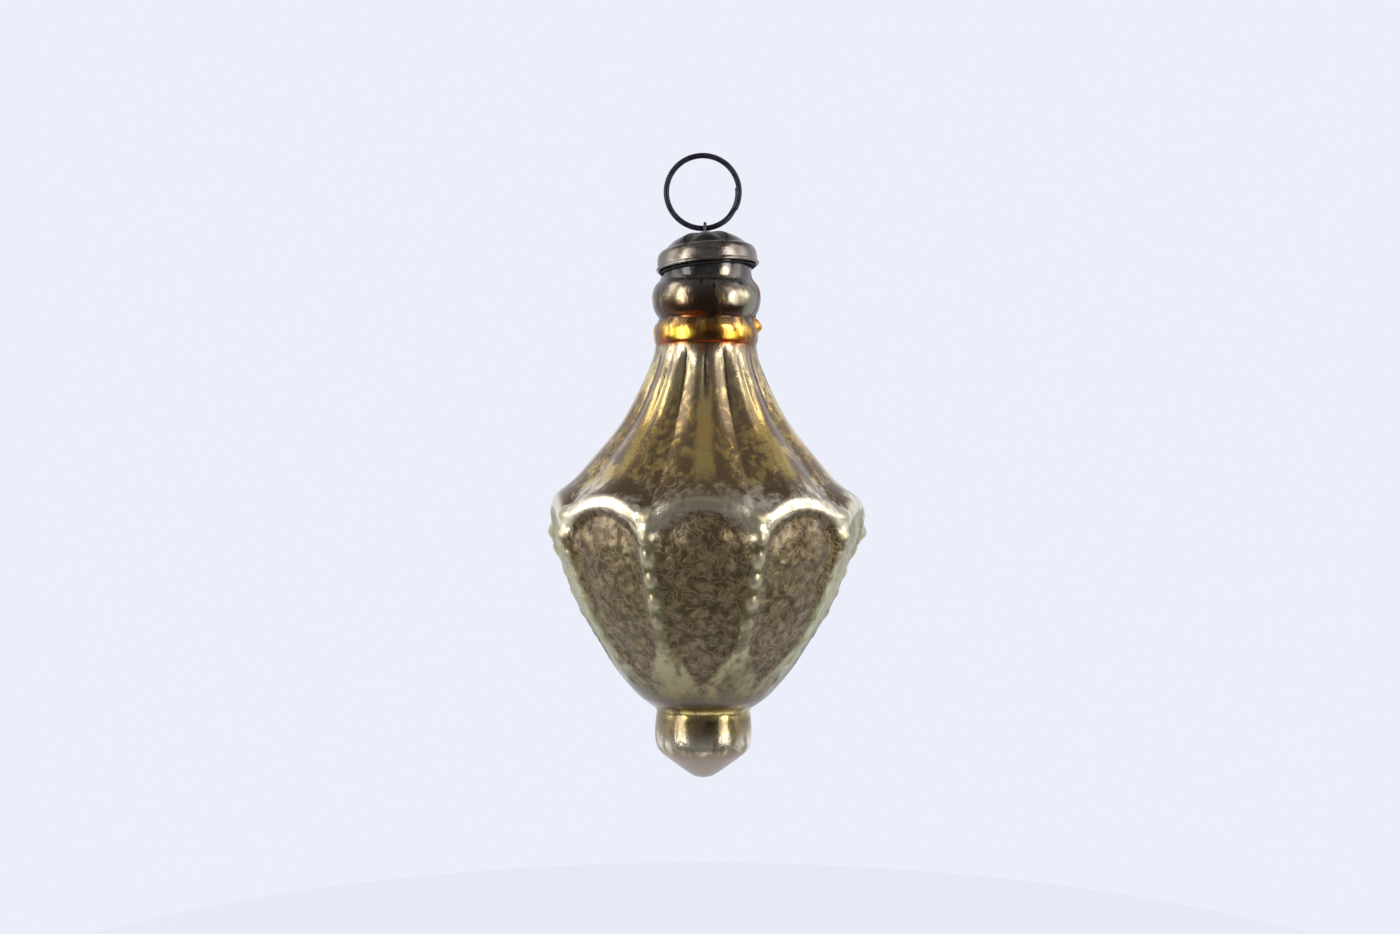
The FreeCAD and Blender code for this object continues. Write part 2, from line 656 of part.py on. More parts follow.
def hollow_outline():
    wall = size("glass_wall")
    inward = vec(wall, 0, 0)
    mouth = size("mouth_radius") - wall
    collar = size("collar_radius") - wall
    stations = [
        vec(mouth, 0, wall),
        vec(mouth, 0, 0),
        vec(collar, 0, -wall),
        vec(collar, 0, -size("collar_foot_drop")),
    ]
    stations += [station(name) - inward for name in ("bulge", "groove", "band")]
    waist = size("waist_drop")
    flare_steps = int(size("flare_steps"))
    for step in range(1, flare_steps):
        drop = between(waist, body_drop("roll"), step / flare_steps)
        stations.append(vec(curve_radius(flare_curve, drop) - wall - size("flute_depth"), 0, -drop))
    belly_steps = int(size("hollow_steps"))
    for step in range(belly_steps + 1):
        drop = between(body_drop("belly_top"), body_drop("foot"), step / belly_steps)
        stations.append(vec(curve_radius(belly_curve, drop) - wall - size("panel_depth"), 0, -drop))
    stations.append(body_station("finial") - inward)
    stations.append(body_station("cone") - vec(wall, 0, -wall / 2))
    stations.append(vec(size("finial_tip_radius"), 0, -size("glass_height") + 2 * wall))
    return closed_outline([Part.makeLine(a, b) for a, b in zip(stations, stations[1:])])


def blow_glass_body():
    form = doc.addObject("Part::MultiFuse", "blown_form")
    form.Shapes = [turned("neck", neck_outline()), lofted_flare(), turned("lower_body", lower_outline())]
    beaded = doc.addObject("Part::Fuse", "beaded_form")
    beaded.Base = form
    beaded.Tool = shaped("rib_beads", Part.makeCompound(rib_beads()))
    panelled = doc.addObject("Part::Cut", "panelled_form")
    panelled.Base = beaded
    panelled.Tool = shaped("panel_recesses", Part.makeCompound(panel_cutters()))
    body = doc.addObject("Part::Cut", "glass_body")
    body.Label = "glass_body"
    body.Base = panelled
    body.Tool = turned("hollow", hollow_outline())
    return body


glass_body = blow_glass_body()
glass_body.Placement = glass_place


# Cement: a round bead under the lip, cut back where it lies against the collar
def squeeze_cement():
    bead = doc.addObject("Part::Torus", "cement_round")
    bound(bead, Radius1="sizes.cement_radius", Radius2="sizes.cement_thickness / 2")
    half = size("cement_thickness") / 2
    under_lip_drop = size("cap_height") + size("cement_gap") + half
    under_lip = FreeCAD.Placement(vec(0, 0, -under_lip_drop), FreeCAD.Rotation())
    bead.Placement = cap_place.multiply(under_lip)
    collar = doc.addObject("Part::Cylinder", "cement_seat")
    bound(collar, Radius="sizes.collar_radius + sizes.cement_gap", Height="sizes.bulge_drop")
    collar_foot = FreeCAD.Placement(vec(0, 0, -size("bulge_drop")), FreeCAD.Rotation())
    collar.Placement = glass_place.multiply(collar_foot)
    ring = doc.addObject("Part::Cut", "cement_bead")
    ring.Label = "cement_bead"
    ring.Base = bead
    ring.Tool = collar
    return ring


cement_bead = squeeze_cement()

doc.recompute()
for item in doc.Objects:
    if "Invalid" in item.State or "Error" in item.State:
        raise RuntimeError(f"{item.Label} failed to build")

pieces = [hanger_ring, spring_clip, cap, cement_bead, glass_body]
for piece in pieces:
    if piece.Shape.isNull() or not piece.Shape.isValid():
        raise RuntimeError(f"{piece.Label} has no sound shape")
    print(piece.Label, len(piece.Shape.Solids), round(piece.Shape.Volume, 2), piece.Shape.BoundBox)
for piece in pieces:
    piece.Shape.exportStep(f"parts/{piece.Label}.step")
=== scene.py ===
import math

import bpy
from mathutils import Matrix, Vector


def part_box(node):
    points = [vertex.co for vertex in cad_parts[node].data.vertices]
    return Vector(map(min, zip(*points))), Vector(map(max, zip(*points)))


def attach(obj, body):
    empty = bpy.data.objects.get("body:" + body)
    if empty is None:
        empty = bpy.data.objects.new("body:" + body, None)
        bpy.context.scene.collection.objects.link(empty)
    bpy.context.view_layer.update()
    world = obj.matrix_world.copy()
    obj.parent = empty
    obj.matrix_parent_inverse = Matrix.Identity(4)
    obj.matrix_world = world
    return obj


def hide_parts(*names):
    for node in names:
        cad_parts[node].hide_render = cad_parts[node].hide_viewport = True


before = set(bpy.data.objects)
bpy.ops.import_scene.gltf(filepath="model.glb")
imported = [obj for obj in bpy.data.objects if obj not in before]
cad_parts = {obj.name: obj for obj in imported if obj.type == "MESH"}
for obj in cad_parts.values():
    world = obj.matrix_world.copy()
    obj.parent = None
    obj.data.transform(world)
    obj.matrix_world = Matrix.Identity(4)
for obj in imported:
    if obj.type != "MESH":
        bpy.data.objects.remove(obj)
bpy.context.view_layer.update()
scene = bpy.context.scene
mm = 0.001
perMetre = 1000  # millimetres in a metre
print("frame loaded:", ", ".join(sorted(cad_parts)))


def hexColour(code):  # from sRGB, as written, to linear
    parts = [int(code[place : place + 2], 16) / 255 for place in (1, 3, 5)]
    linear = [part / 12.92 if part <= 0.04045 else ((part + 0.055) / 1.055) ** 2.4 for part in parts]
    return (*linear, 1.0)


def fillStops(elements, stops):
    while len(elements) < len(stops):
        elements.new(1.0)
    for element, (place, colour) in zip(elements, stops):
        element.position = place
        element.color = hexColour(colour)


def fillPoints(mapping, points):
    curve = mapping.curves[0]
    while len(curve.points) < len(points):
        curve.points.new(0.5, 0.5)
    for point, place in zip(curve.points, points):
        point.location = place
    mapping.update()


def addNode(tree, kind, settings=None, inputs=None):
    node = tree.nodes.new(kind)
    for name, value in (settings or {}).items():
        if name == "stops":
            fillStops(node.color_ramp.elements, value)
        elif name == "points":
            fillPoints(node.mapping, value)
        else:
            setattr(node, name, value)
    for socket, value in (inputs or {}).items():
        if isinstance(value, bpy.types.NodeSocket):
            tree.links.new(value, node.inputs[socket])
        else:
            node.inputs[socket].default_value = value
    return node


def addFormulas(tree, known, rows):  # each row: its name, the operation, then earlier names or numbers
    for name, operation, *terms in rows:
        values = dict(enumerate(known[term] if isinstance(term, str) else term for term in terms))
        if operation == "SMOOTHSTEP":
            settings = {"interpolation_type": "SMOOTHSTEP", "label": name}
            node = addNode(tree, "ShaderNodeMapRange", settings, values)
        else:
            node = addNode(tree, "ShaderNodeMath", {"operation": operation, "label": name}, values)
        known[name] = node.outputs[0]


def startMaterial(name):
    material = bpy.data.materials.new(name)
    material.use_nodes = True
    tree = material.node_tree
    tree.nodes.clear()
    shader = addNode(tree, "ShaderNodeBsdfPrincipled")
    addNode(tree, "ShaderNodeOutputMaterial", inputs={"Surface": shader.outputs[0]})
    coordinates = addNode(tree, "ShaderNodeTexCoord").outputs["Object"]
    scale = (perMetre, perMetre, perMetre)
    inMillimetres = addNode(tree, "ShaderNodeMapping", inputs={"Vector": coordinates, "Scale": scale})
    return material, tree, shader, inMillimetres.outputs[0]


def addMesh(name, vertices, faces, smooth=True):
    mesh = bpy.data.meshes.new(name)
    mesh.from_pydata(vertices, [], faces)
    mesh.validate()
    mesh.update()
    for polygon in mesh.polygons:
        polygon.use_smooth = smooth
    piece = bpy.data.objects.new(name, mesh)
    scene.collection.objects.link(piece)
    return piece


# Camera and room

view = {
    "place": (-0.00049, -0.350, -0.05555),
    "lens": 50,  # millimetres, as the sensor
    "sensor": 36,
    "backdrop": "#eceffa",
    "frontLight": 0.12,  # how bright the room is before the object, against the backdrop behind it
    "ceilingLight": 0.34,
    "groundLight": 0.18,
    # Where each part of the room begins and is full: how far a direction points back, or up
    "behind": (-0.15, 0.25),
    "underCeiling": (0.85, 0.45),
    "overhead": (0.62, 0.95),
    "underneath": (-0.2, -0.7),
    "lampDistance": 1.0,
    "floorHeight": -0.2,
    "floorRadius": 0.22,
    "floorBack": 0.14,
    "floorSides": 64,
    "floorRough": 0.9,
    "floorGlow": 0.8,  # how far the floor is lit like the backdrop, so that the rest still takes the shadow
}
softboxes = [  # name, degrees to the right of the camera, degrees up, width and height in metres, brightness
    ("leftSoftbox", -55, 9, 0.32, 1.1, 6.6),
    ("rightSoftbox", 53, 9, 0.30, 1.1, 6.6),
    ("leftStrip", -88, 26, 0.40, 1.0, 2.6),
    ("rightStrip", 85, 26, 0.36, 1.0, 2.8),
]


def placeCamera():
    lens = bpy.data.cameras.new("photoCamera")
    lens.lens = view["lens"]
    lens.sensor_width = view["sensor"]
    camera = bpy.data.objects.new("photoCamera", lens)
    camera.location = view["place"]
    camera.rotation_euler = (math.radians(90), 0, 0)
    scene.collection.objects.link(camera)
    scene.camera = camera


def lightRoom():
    middle = Vector((0, 0, view["place"][2]))
    for name, side, up, width, height, brightness in softboxes:
        lamp = bpy.data.lights.new(name, "AREA")
        lamp.shape = "RECTANGLE"
        lamp.size = width
        lamp.size_y = height
        lamp.energy = brightness * math.pi * width * height
        box = bpy.data.objects.new(name, lamp)
        turn, lift = math.radians(side), math.radians(up)
        away = Vector((math.sin(turn) * math.cos(lift), -math.cos(turn) * math.cos(lift), math.sin(lift)))
        box.location = middle + away * view["lampDistance"]
        box.rotation_euler = away.to_track_quat("Z", "Y").to_euler()
        scene.collection.objects.link(box)


def hangBackdrop():
    world = bpy.data.worlds.new("studio")
    scene.world = world
    world.use_nodes = True
    tree = world.node_tree
    tree.nodes.clear()
    direction = addNode(tree, "ShaderNodeTexCoord").outputs["Generated"]
    parts = addNode(tree, "ShaderNodeSeparateXYZ", inputs={0: direction})
    known = {"depth": parts.outputs["Y"], "height": parts.outputs["Z"]}
    rays = addNode(tree, "ShaderNodeLightPath").outputs
    known["camera"], known["through"] = rays["Is Camera Ray"], rays["Is Transmission Ray"]
    known["glossy"] = rays["Is Glossy Ray"]
    level, ceiling, ground = view["frontLight"], view["ceilingLight"], view["groundLight"]
    addFormulas(tree, known, [
        ("behind", "SMOOTHSTEP", "depth", *view["behind"]),
        ("underCeiling", "SMOOTHSTEP", "height", *view["underCeiling"]),
        ("lit", "MULTIPLY", "behind", "underCeiling"),
        ("overhead", "SMOOTHSTEP", "height", *view["overhead"]),
        ("underneath", "SMOOTHSTEP", "height", *view["underneath"]),
        ("levelLight", "MULTIPLY_ADD", "underneath", ground - level, level),
        ("roomLight", "MULTIPLY_ADD", "overhead", ceiling - level, "levelLight"),
        ("unlit", "SUBTRACT", 1, "lit"),
        ("dimPart", "MULTIPLY", "unlit", "roomLight"),
        ("brightness", "ADD", "dimPart", "lit"),
        ("glossyShare", "MULTIPLY", "glossy", "lit"),
        ("direct", "MAXIMUM", "camera", "through"),
        ("shown", "MAXIMUM", "direct", "glossyShare"),
    ])
    backdrop = hexColour(view["backdrop"])
    seen = addNode(tree, "ShaderNodeBackground", inputs={"Color": backdrop, "Strength": 1.0})
    room = addNode(tree, "ShaderNodeBackground", inputs={"Color": backdrop, "Strength": known["brightness"]})
    choice = {0: known["shown"], 1: room.outputs[0], 2: seen.outputs[0]}
    mixed = addNode(tree, "ShaderNodeMixShader", inputs=choice)
    addNode(tree, "ShaderNodeOutputWorld", inputs={"Surface": mixed.outputs[0]})


def layFloor():
    corners = []
    for step in range(view["floorSides"]):
        turn = math.tau * step / view["floorSides"]
        side, back = math.cos(turn) * view["floorRadius"], math.sin(turn) * view["floorRadius"]
        corners.append((side, view["floorBack"] + back, view["floorHeight"]))
    floor = addMesh("floor", corners, [tuple(range(view["floorSides"]))], smooth=False)
    material, tree, shader, place = startMaterial("palePaper")  # matt paper: only the soft shadow shows on it
    pale = hexColour(view["backdrop"])
    shader.inputs["Base Color"].default_value = pale
    shader.inputs["Roughness"].default_value = view["floorRough"]
    rays = addNode(tree, "ShaderNodeLightPath").outputs
    known = {"camera": rays["Is Camera Ray"], "through": rays["Is Transmission Ray"]}
    known["glossy"] = rays["Is Glossy Ray"]
    addFormulas(tree, known, [
        ("direct", "MAXIMUM", "camera", "through"),
        ("seen", "MAXIMUM", "direct", "glossy"),
        ("share", "MULTIPLY", "seen", view["floorGlow"]),
    ])
    glow = addNode(tree, "ShaderNodeEmission", inputs={"Color": pale, "Strength": 1.0})
    choice = {0: known["share"], 1: shader.outputs[0], 2: glow.outputs[0]}
    mixed = addNode(tree, "ShaderNodeMixShader", inputs=choice)
    output = next(node for node in tree.nodes if node.type == "OUTPUT_MATERIAL")
    tree.links.new(mixed.outputs[0], output.inputs["Surface"])
    floor.data.materials.append(material)


placeCamera()
lightRoom()
hangBackdrop()
layFloor()
scene.view_settings.view_transform = "Standard"
print("camera, lamps, backdrop and floor are in place")


# Glass: a turned blank, pressed into its mould by a tree of rules

glass = {
    "lean": 0.4,
    "offset": 0.7,
    "around": 288,
    "mouthLip": 0.6,
    "mouthDrop": 0.25,
    # The outside from the mouth down, and the hollow from the tip up: radius and drop in millimetres
    "collar": [(7.2, 0), (7.75, 0.25), (8.05, 0.9), (8.1, 1.8), (8.12, 4.3), (8.25, 5.0), (8.5, 5.5)],
    "bulge": [(8.5, 5.5), (9.3, 6.5), (9.75, 7.8), (9.8, 8.8), (9.5, 10.4), (9.0, 11.5), (8.45, 12.2)],
    "thinRing": [(8.45, 12.2), (8.75, 12.9), (9.25, 13.9), (9.4, 15.1), (9.35, 16.1), (9.05, 17.0)],
    "body": [
        (9.05, 17.0), (9.75, 19.6), (11.5, 23.8), (13.8, 28.4), (16.4, 32.5), (20.0, 37.0), (23.2, 40.9),
        (24.65, 42.6), (25.65, 43.7), (26.6, 44.8), (27.5, 46.0), (28.2, 47.2), (28.5, 48.6), (28.5, 50.0),
        (28.3, 51.4), (27.8, 53.0), (26.4, 56.3), (22.8, 64.9), (17.0, 73.5), (12.5, 79.0), (10.2, 81.0),
        (9.3, 81.6),
    ],
    "step": [(9.3, 81.6), (8.75, 82.0), (8.4, 82.6)],
    "finial": [(8.4, 82.6), (8.6, 84.4), (8.72, 86.4), (8.6, 88.0), (8.2, 89.3), (7.5, 90.2), (6.5, 91.0)],
    "cone": [(6.5, 91.0), (5.0, 92.1), (3.1, 93.5), (1.7, 94.35), (0.9, 94.55), (0.0, 94.6)],
    "hollow": [
        (0.0, 92.2), (4.0, 91.6), (7.2, 88.0), (7.1, 82.0), (14.2, 73.5), (19.6, 64.9), (24.6, 52.0),
        (24.8, 47.6), (21.2, 41.2), (13.6, 32.5), (8.6, 23.8), (7.0, 17.0), (7.2, 12.2), (8.4, 8.8),
        (6.9, 4.5),
    ],
    "hollowSpacing": 3.0,
    "spacing": {  # of the rows of points
        "collar": 0.5, "bulge": 0.4, "thinRing": 0.36, "body": 0.46, "step": 0.35, "finial": 0.5, "cone": 0.6,
    },
}
mould = {
    "Lobes": 9, "Rib angle": 9.2, "Flute depth": 1.25, "Split depth": 0.6,
    "Panel half angle": 17.2, "Panel depth": 1.7, "Arch spring": 52.4, "Arch height": 6.2,
    "Side drop": 68.0, "Point drop": 79.5, "Wall outside": -0.8, "Wall shift": -0.1, "Wall inside": 1.8,
    "Depth fades": 66.0, "Depth ends": 79.0,
    "Roll height": 1.0, "Roll width": 2.0, "Roll reach": 3.1,
    "Roll begins": 39.0, "Roll full": 42.0, "Roll fades": 50.0, "Roll ends": 57.0,
    "Beads": 9, "First bead": 46.9, "Last bead": 76.6, "Bead radius": 1.55, "Bead rise": 0.56,
    "Bead narrowing": -0.38, "Bead lowering": -0.62,  # from the first bead to the last
    "Relief height": 0.28, "Relief size": 2.0, "Relief starts": 0.6, "Relief full": 1.8,
    "Wobble": 0.22, "Wobble begins": 17.0, "Wobble full": 26.0, "Wobble waves": 0.07,
}
front = 270  # degrees round from +X to the side that faces the camera
drips = [  # uneven places: degrees to the right of the camera, drop, half width, half height, thickness
    ("orangeDrip", 84, 13.2, 1.4, 1.6, 1.0),
    ("thinDrip", 76, 6.4, 0.8, 2.6, 0.25),
    ("paleSkin", 54, 9.6, 2.4, 2.9, 0.12),
    ("leftDrip", -80, 14.2, 1.0, 1.2, 0.2),
    ("shoulderRight", 92, 48.0, 16.0, 6.0, 0.9),
]
glassPlace = Matrix.Translation((glass["offset"] * mm, 0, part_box("glass_body")[1].z)) @ Matrix.Rotation(
    math.radians(glass["lean"]), 4, "Y"
)


def smoothRun(stations, spacing):  # a smooth curve through the stations
    points = []
    padded = [stations[0], *stations, stations[-1]]
    for before, start, end, after in zip(padded, padded[1:], padded[2:], padded[3:]):
        count = max(1, round(math.dist(start, end) / spacing))
        for step in range(count):
            share = step / count
            point = []
            for a, b, c, d in zip(before, start, end, after):
                bend, twist = 2 * a - 5 * b + 4 * c - d, 3 * b - a - 3 * c + d
                point.append(0.5 * (2 * b + (c - a) * share + bend * share**2 + twist * share**3))
            points.append(tuple(point))
    return points


def turnBlank():
    rows = smoothRun(glass["hollow"], glass["hollowSpacing"])
    rows.append((glass["collar"][0][0] - glass["mouthLip"], glass["mouthDrop"]))
    innerRows = len(rows)
    for part, spacing in glass["spacing"].items():
        rows += smoothRun(glass[part], spacing)
    rows.append(glass["cone"][-1])
    around = glass["around"]
    vertices, faces = [], []
    kept = {"drop": [], "turn": [], "turnCosine": [], "turnSine": [], "outer": []}
    for number, (radius, drop) in enumerate(rows):
        for step in range(around):
            turn = math.tau * step / around
            vertices.append((radius * math.cos(turn) * mm, radius * math.sin(turn) * mm, -drop * mm))
            values = (drop, math.degrees(turn), math.cos(turn), math.sin(turn), float(number >= innerRows))
            for column, value in zip(kept.values(), values):
                column.append(value)
    for row in range(len(rows) - 1):
        for step in range(around):
            here, beside = row * around + step, row * around + (step + 1) % around
            faces.append((here, here + around, beside + around, beside))
    blank = addMesh("glassBlank", vertices, faces)
    for name, values in kept.items():
        blank.data.attributes.new(name, "FLOAT", "POINT").data.foreach_set("value", values)
    print("glass blank:", len(rows), "rows,", len(faces), "faces")
    return blank


flutes = [  # how deep the creases are, from the neck to the shoulder
    ("creaseFade", [
        (0, 0), (0.176, 0), (0.2, 0.35), (0.26, 0.75), (0.4, 1.0), (0.48, 1.0), (0.53, 0.5), (0.56, 0.0),
        (1, 0),
    ]),
    ("splitFade", [(0, 0), (0.176, 0), (0.2, 0.5), (0.25, 1.0), (0.32, 0.8), (0.42, 0.0), (1, 0)]),
]
mouldRules = [
    ("lobeAngle", "DIVIDE", 360, "Lobes"),
    ("halfLobe", "DIVIDE", "lobeAngle", 2),
    ("otherHalf", "MULTIPLY", "halfLobe", -1),
    ("fromFirstRib", "SUBTRACT", "turn", "Rib angle"),
    ("aside", "WRAP", "fromFirstRib", "halfLobe", "otherHalf"),
    ("fromRib", "ABSOLUTE", "aside"),
    ("fromMiddle", "SUBTRACT", "halfLobe", "fromRib"),
    ("degreeLength", "MULTIPLY", "radius", math.pi / 180),
    ("ribSide", "MULTIPLY", "fromRib", "degreeLength"),
    ("middleSide", "MULTIPLY", "fromMiddle", "degreeLength"),
    # Flutes
    ("ribShare", "DIVIDE", "fromRib", "halfLobe"),
    ("lobeTurn", "MULTIPLY", "ribShare", math.pi / 2),
    ("lobeRound", "SINE", "lobeTurn"),
    ("lobeDip", "SUBTRACT", 1, "lobeRound"),
    ("creaseDepth", "MULTIPLY", "Flute depth", "creaseFade"),
    ("creaseSink", "MULTIPLY", "lobeDip", "creaseDepth"),
    ("splitShare", "SUBTRACT", 1, "ribShare"),
    ("splitDouble", "MULTIPLY", "splitShare", 2),
    ("splitCapped", "MINIMUM", "splitDouble", 1),
    ("splitTurn", "MULTIPLY", "splitCapped", math.pi / 2),
    ("splitRound", "SINE", "splitTurn"),
    ("splitDip", "SUBTRACT", 1, "splitRound"),
    ("splitDepth", "MULTIPLY", "Split depth", "splitFade"),
    ("splitSink", "MULTIPLY", "splitDip", "splitDepth"),
    # Arched panels: the distance inside the arch's edge, in millimetres
    ("overSpring", "SUBTRACT", "Arch spring", "drop"),
    ("archUp", "MAXIMUM", "overSpring", 0),
    ("archShare", "DIVIDE", "archUp", "Arch height"),
    ("closing", "SMOOTHSTEP", "drop", "Point drop", "Side drop"),
    ("panelAngle", "MULTIPLY", "Panel half angle", "closing"),
    ("panelHalf", "MULTIPLY", "panelAngle", "degreeLength"),
    ("panelSafe", "MAXIMUM", "panelHalf", 0.05),
    ("acrossShare", "DIVIDE", "middleSide", "panelSafe"),
    ("acrossSquare", "POWER", "acrossShare", 2.0),
    ("archSquare", "POWER", "archShare", 2.0),
    ("archSum", "ADD", "acrossSquare", "archSquare"),
    ("archReach", "SQRT", "archSum"),
    ("edgeShare", "SUBTRACT", 1, "archReach"),
    ("edge", "MULTIPLY", "edgeShare", "panelSafe"),
    ("rollNear", "SMOOTHSTEP", "drop", "Roll ends", "Roll fades"),
    ("wallStart", "MULTIPLY_ADD", "rollNear", "Wall shift", "Wall outside"),
    ("wallShare", "SMOOTHSTEP", "edge", "wallStart", "Wall inside"),
    ("pointFade", "SMOOTHSTEP", "drop", "Depth ends", "Depth fades"),
    ("panelMask", "MULTIPLY", "wallShare", "pointFade"),
    ("depthShare", "MULTIPLY_ADD", "rollNear", 0.5, 0.5),  # half as deep below the roll
    ("depthHere", "MULTIPLY", "depthShare", "Panel depth"),
    ("panelSink", "MULTIPLY", "panelMask", "depthHere"),
    # The rounded roll that follows the arches
    ("rollAway", "ADD", "edge", "Roll reach"),
    ("rollShare", "DIVIDE", "rollAway", "Roll width"),
    ("rollSquare", "MULTIPLY", "rollShare", "rollShare"),
    ("rollFall", "MULTIPLY", "rollSquare", -1),
    ("rollShape", "EXPONENT", "rollFall"),
    ("rollStart", "SMOOTHSTEP", "drop", "Roll begins", "Roll full"),
    ("rollPlace", "MULTIPLY", "rollNear", "rollStart"),
    ("rollTall", "MULTIPLY", "rollPlace", "Roll height"),
    ("rollRise", "MULTIPLY", "rollShape", "rollTall"),
    # Beads along the ribs, smaller and closer towards the foot
    ("beadRun", "SUBTRACT", "Last bead", "First bead"),
    ("beadFrom", "SUBTRACT", "drop", "First bead"),
    ("beadShare", "DIVIDE", "beadFrom", "beadRun"),
    ("beadGaps", "SUBTRACT", "Beads", 1),
    ("beadIndex", "MULTIPLY", "beadShare", "beadGaps"),
    ("beadRounded", "ROUND", "beadIndex"),
    ("beadFirst", "MAXIMUM", "beadRounded", 0),
    ("beadNearest", "MINIMUM", "beadFirst", "beadGaps"),
    ("beadOff", "SUBTRACT", "beadIndex", "beadNearest"),
    ("beadPitch", "DIVIDE", "beadRun", "beadGaps"),
    ("beadAlong", "MULTIPLY", "beadOff", "beadPitch"),
    ("beadAlongSquare", "MULTIPLY", "beadAlong", "beadAlong"),
    ("beadAcross", "MULTIPLY_ADD", "ribSide", "ribSide", "beadAlongSquare"),
    ("beadDistance", "SQRT", "beadAcross"),
    ("beadShrink", "MULTIPLY_ADD", "beadShare", "Bead narrowing", 1.0),
    ("beadSize", "MULTIPLY", "Bead radius", "beadShrink"),
    ("beadReach", "DIVIDE", "beadDistance", "beadSize"),
    ("beadSquare", "MULTIPLY", "beadReach", "beadReach"),
    ("beadDome", "SUBTRACT", 1, "beadSquare"),
    ("beadMask", "MAXIMUM", "beadDome", 0),
    ("beadFade", "MULTIPLY_ADD", "beadShare", "Bead lowering", 1.0),
    ("beadTall", "MULTIPLY", "Bead rise", "beadFade"),
    ("beadRise", "MULTIPLY", "beadMask", "beadTall"),
    # Relief in the panels and the unevenness of blown glass
    ("curlsOver", "SUBTRACT", "curls", "scrolls"),
    ("reliefShape", "MULTIPLY", "curlsOver", 1.6),
    ("reliefHeight", "MULTIPLY", "reliefShape", "Relief height"),
    ("panelInside", "SMOOTHSTEP", "edge", "Relief starts", "Relief full"),
    ("reliefRise", "MULTIPLY", "reliefHeight", "panelInside"),
    ("wobbleMiddle", "SUBTRACT", "wobbleShape", 0.5),
    ("wobbleNear", "SMOOTHSTEP", "drop", "Wobble begins", "Wobble full"),
    ("wobbleTall", "MULTIPLY", "wobbleNear", "Wobble"),
    ("wobbleRise", "MULTIPLY", "wobbleMiddle", "wobbleTall"),
]
thickened = 0.0  # the drips one after another, then all together, on the outside only
for name, side, drop, halfWidth, halfHeight, thickness in drips:
    mouldRules += [
        (name + "Turn", "SUBTRACT", "turn", front + side),
        (name + "Wrapped", "WRAP", name + "Turn", 180, -180),
        (name + "Side", "MULTIPLY", name + "Wrapped", "degreeLength"),
        (name + "Across", "DIVIDE", name + "Side", halfWidth),
        (name + "Down", "SUBTRACT", "drop", drop),
        (name + "Along", "DIVIDE", name + "Down", halfHeight),
        (name + "Square", "MULTIPLY", name + "Along", name + "Along"),
        (name + "Sum", "MULTIPLY_ADD", name + "Across", name + "Across", name + "Square"),
        (name + "Mask", "SMOOTHSTEP", name + "Sum", 1.0, 0.0),
        (name + "Rise", "MULTIPLY", name + "Mask", thickness),
        (name + "Total", "ADD", thickened, name + "Rise"),
    ]
    thickened = name + "Total"
mouldRules += [
    ("sunk", "ADD", "creaseSink", "splitSink"),
    ("sunkToo", "ADD", "sunk", "panelSink"),
    ("raised", "ADD", "rollRise", "beadRise"),
    ("raisedToo", "ADD", "raised", "reliefRise"),
    ("raisedMore", "ADD", "raisedToo", thickened),
    ("raisedAll", "ADD", "raisedMore", "wobbleRise"),
    ("change", "SUBTRACT", "raisedAll", "sunkToo"),
    ("outside", "MULTIPLY", "change", "outer"),
    ("outward", "MULTIPLY", "outside", mm),
]


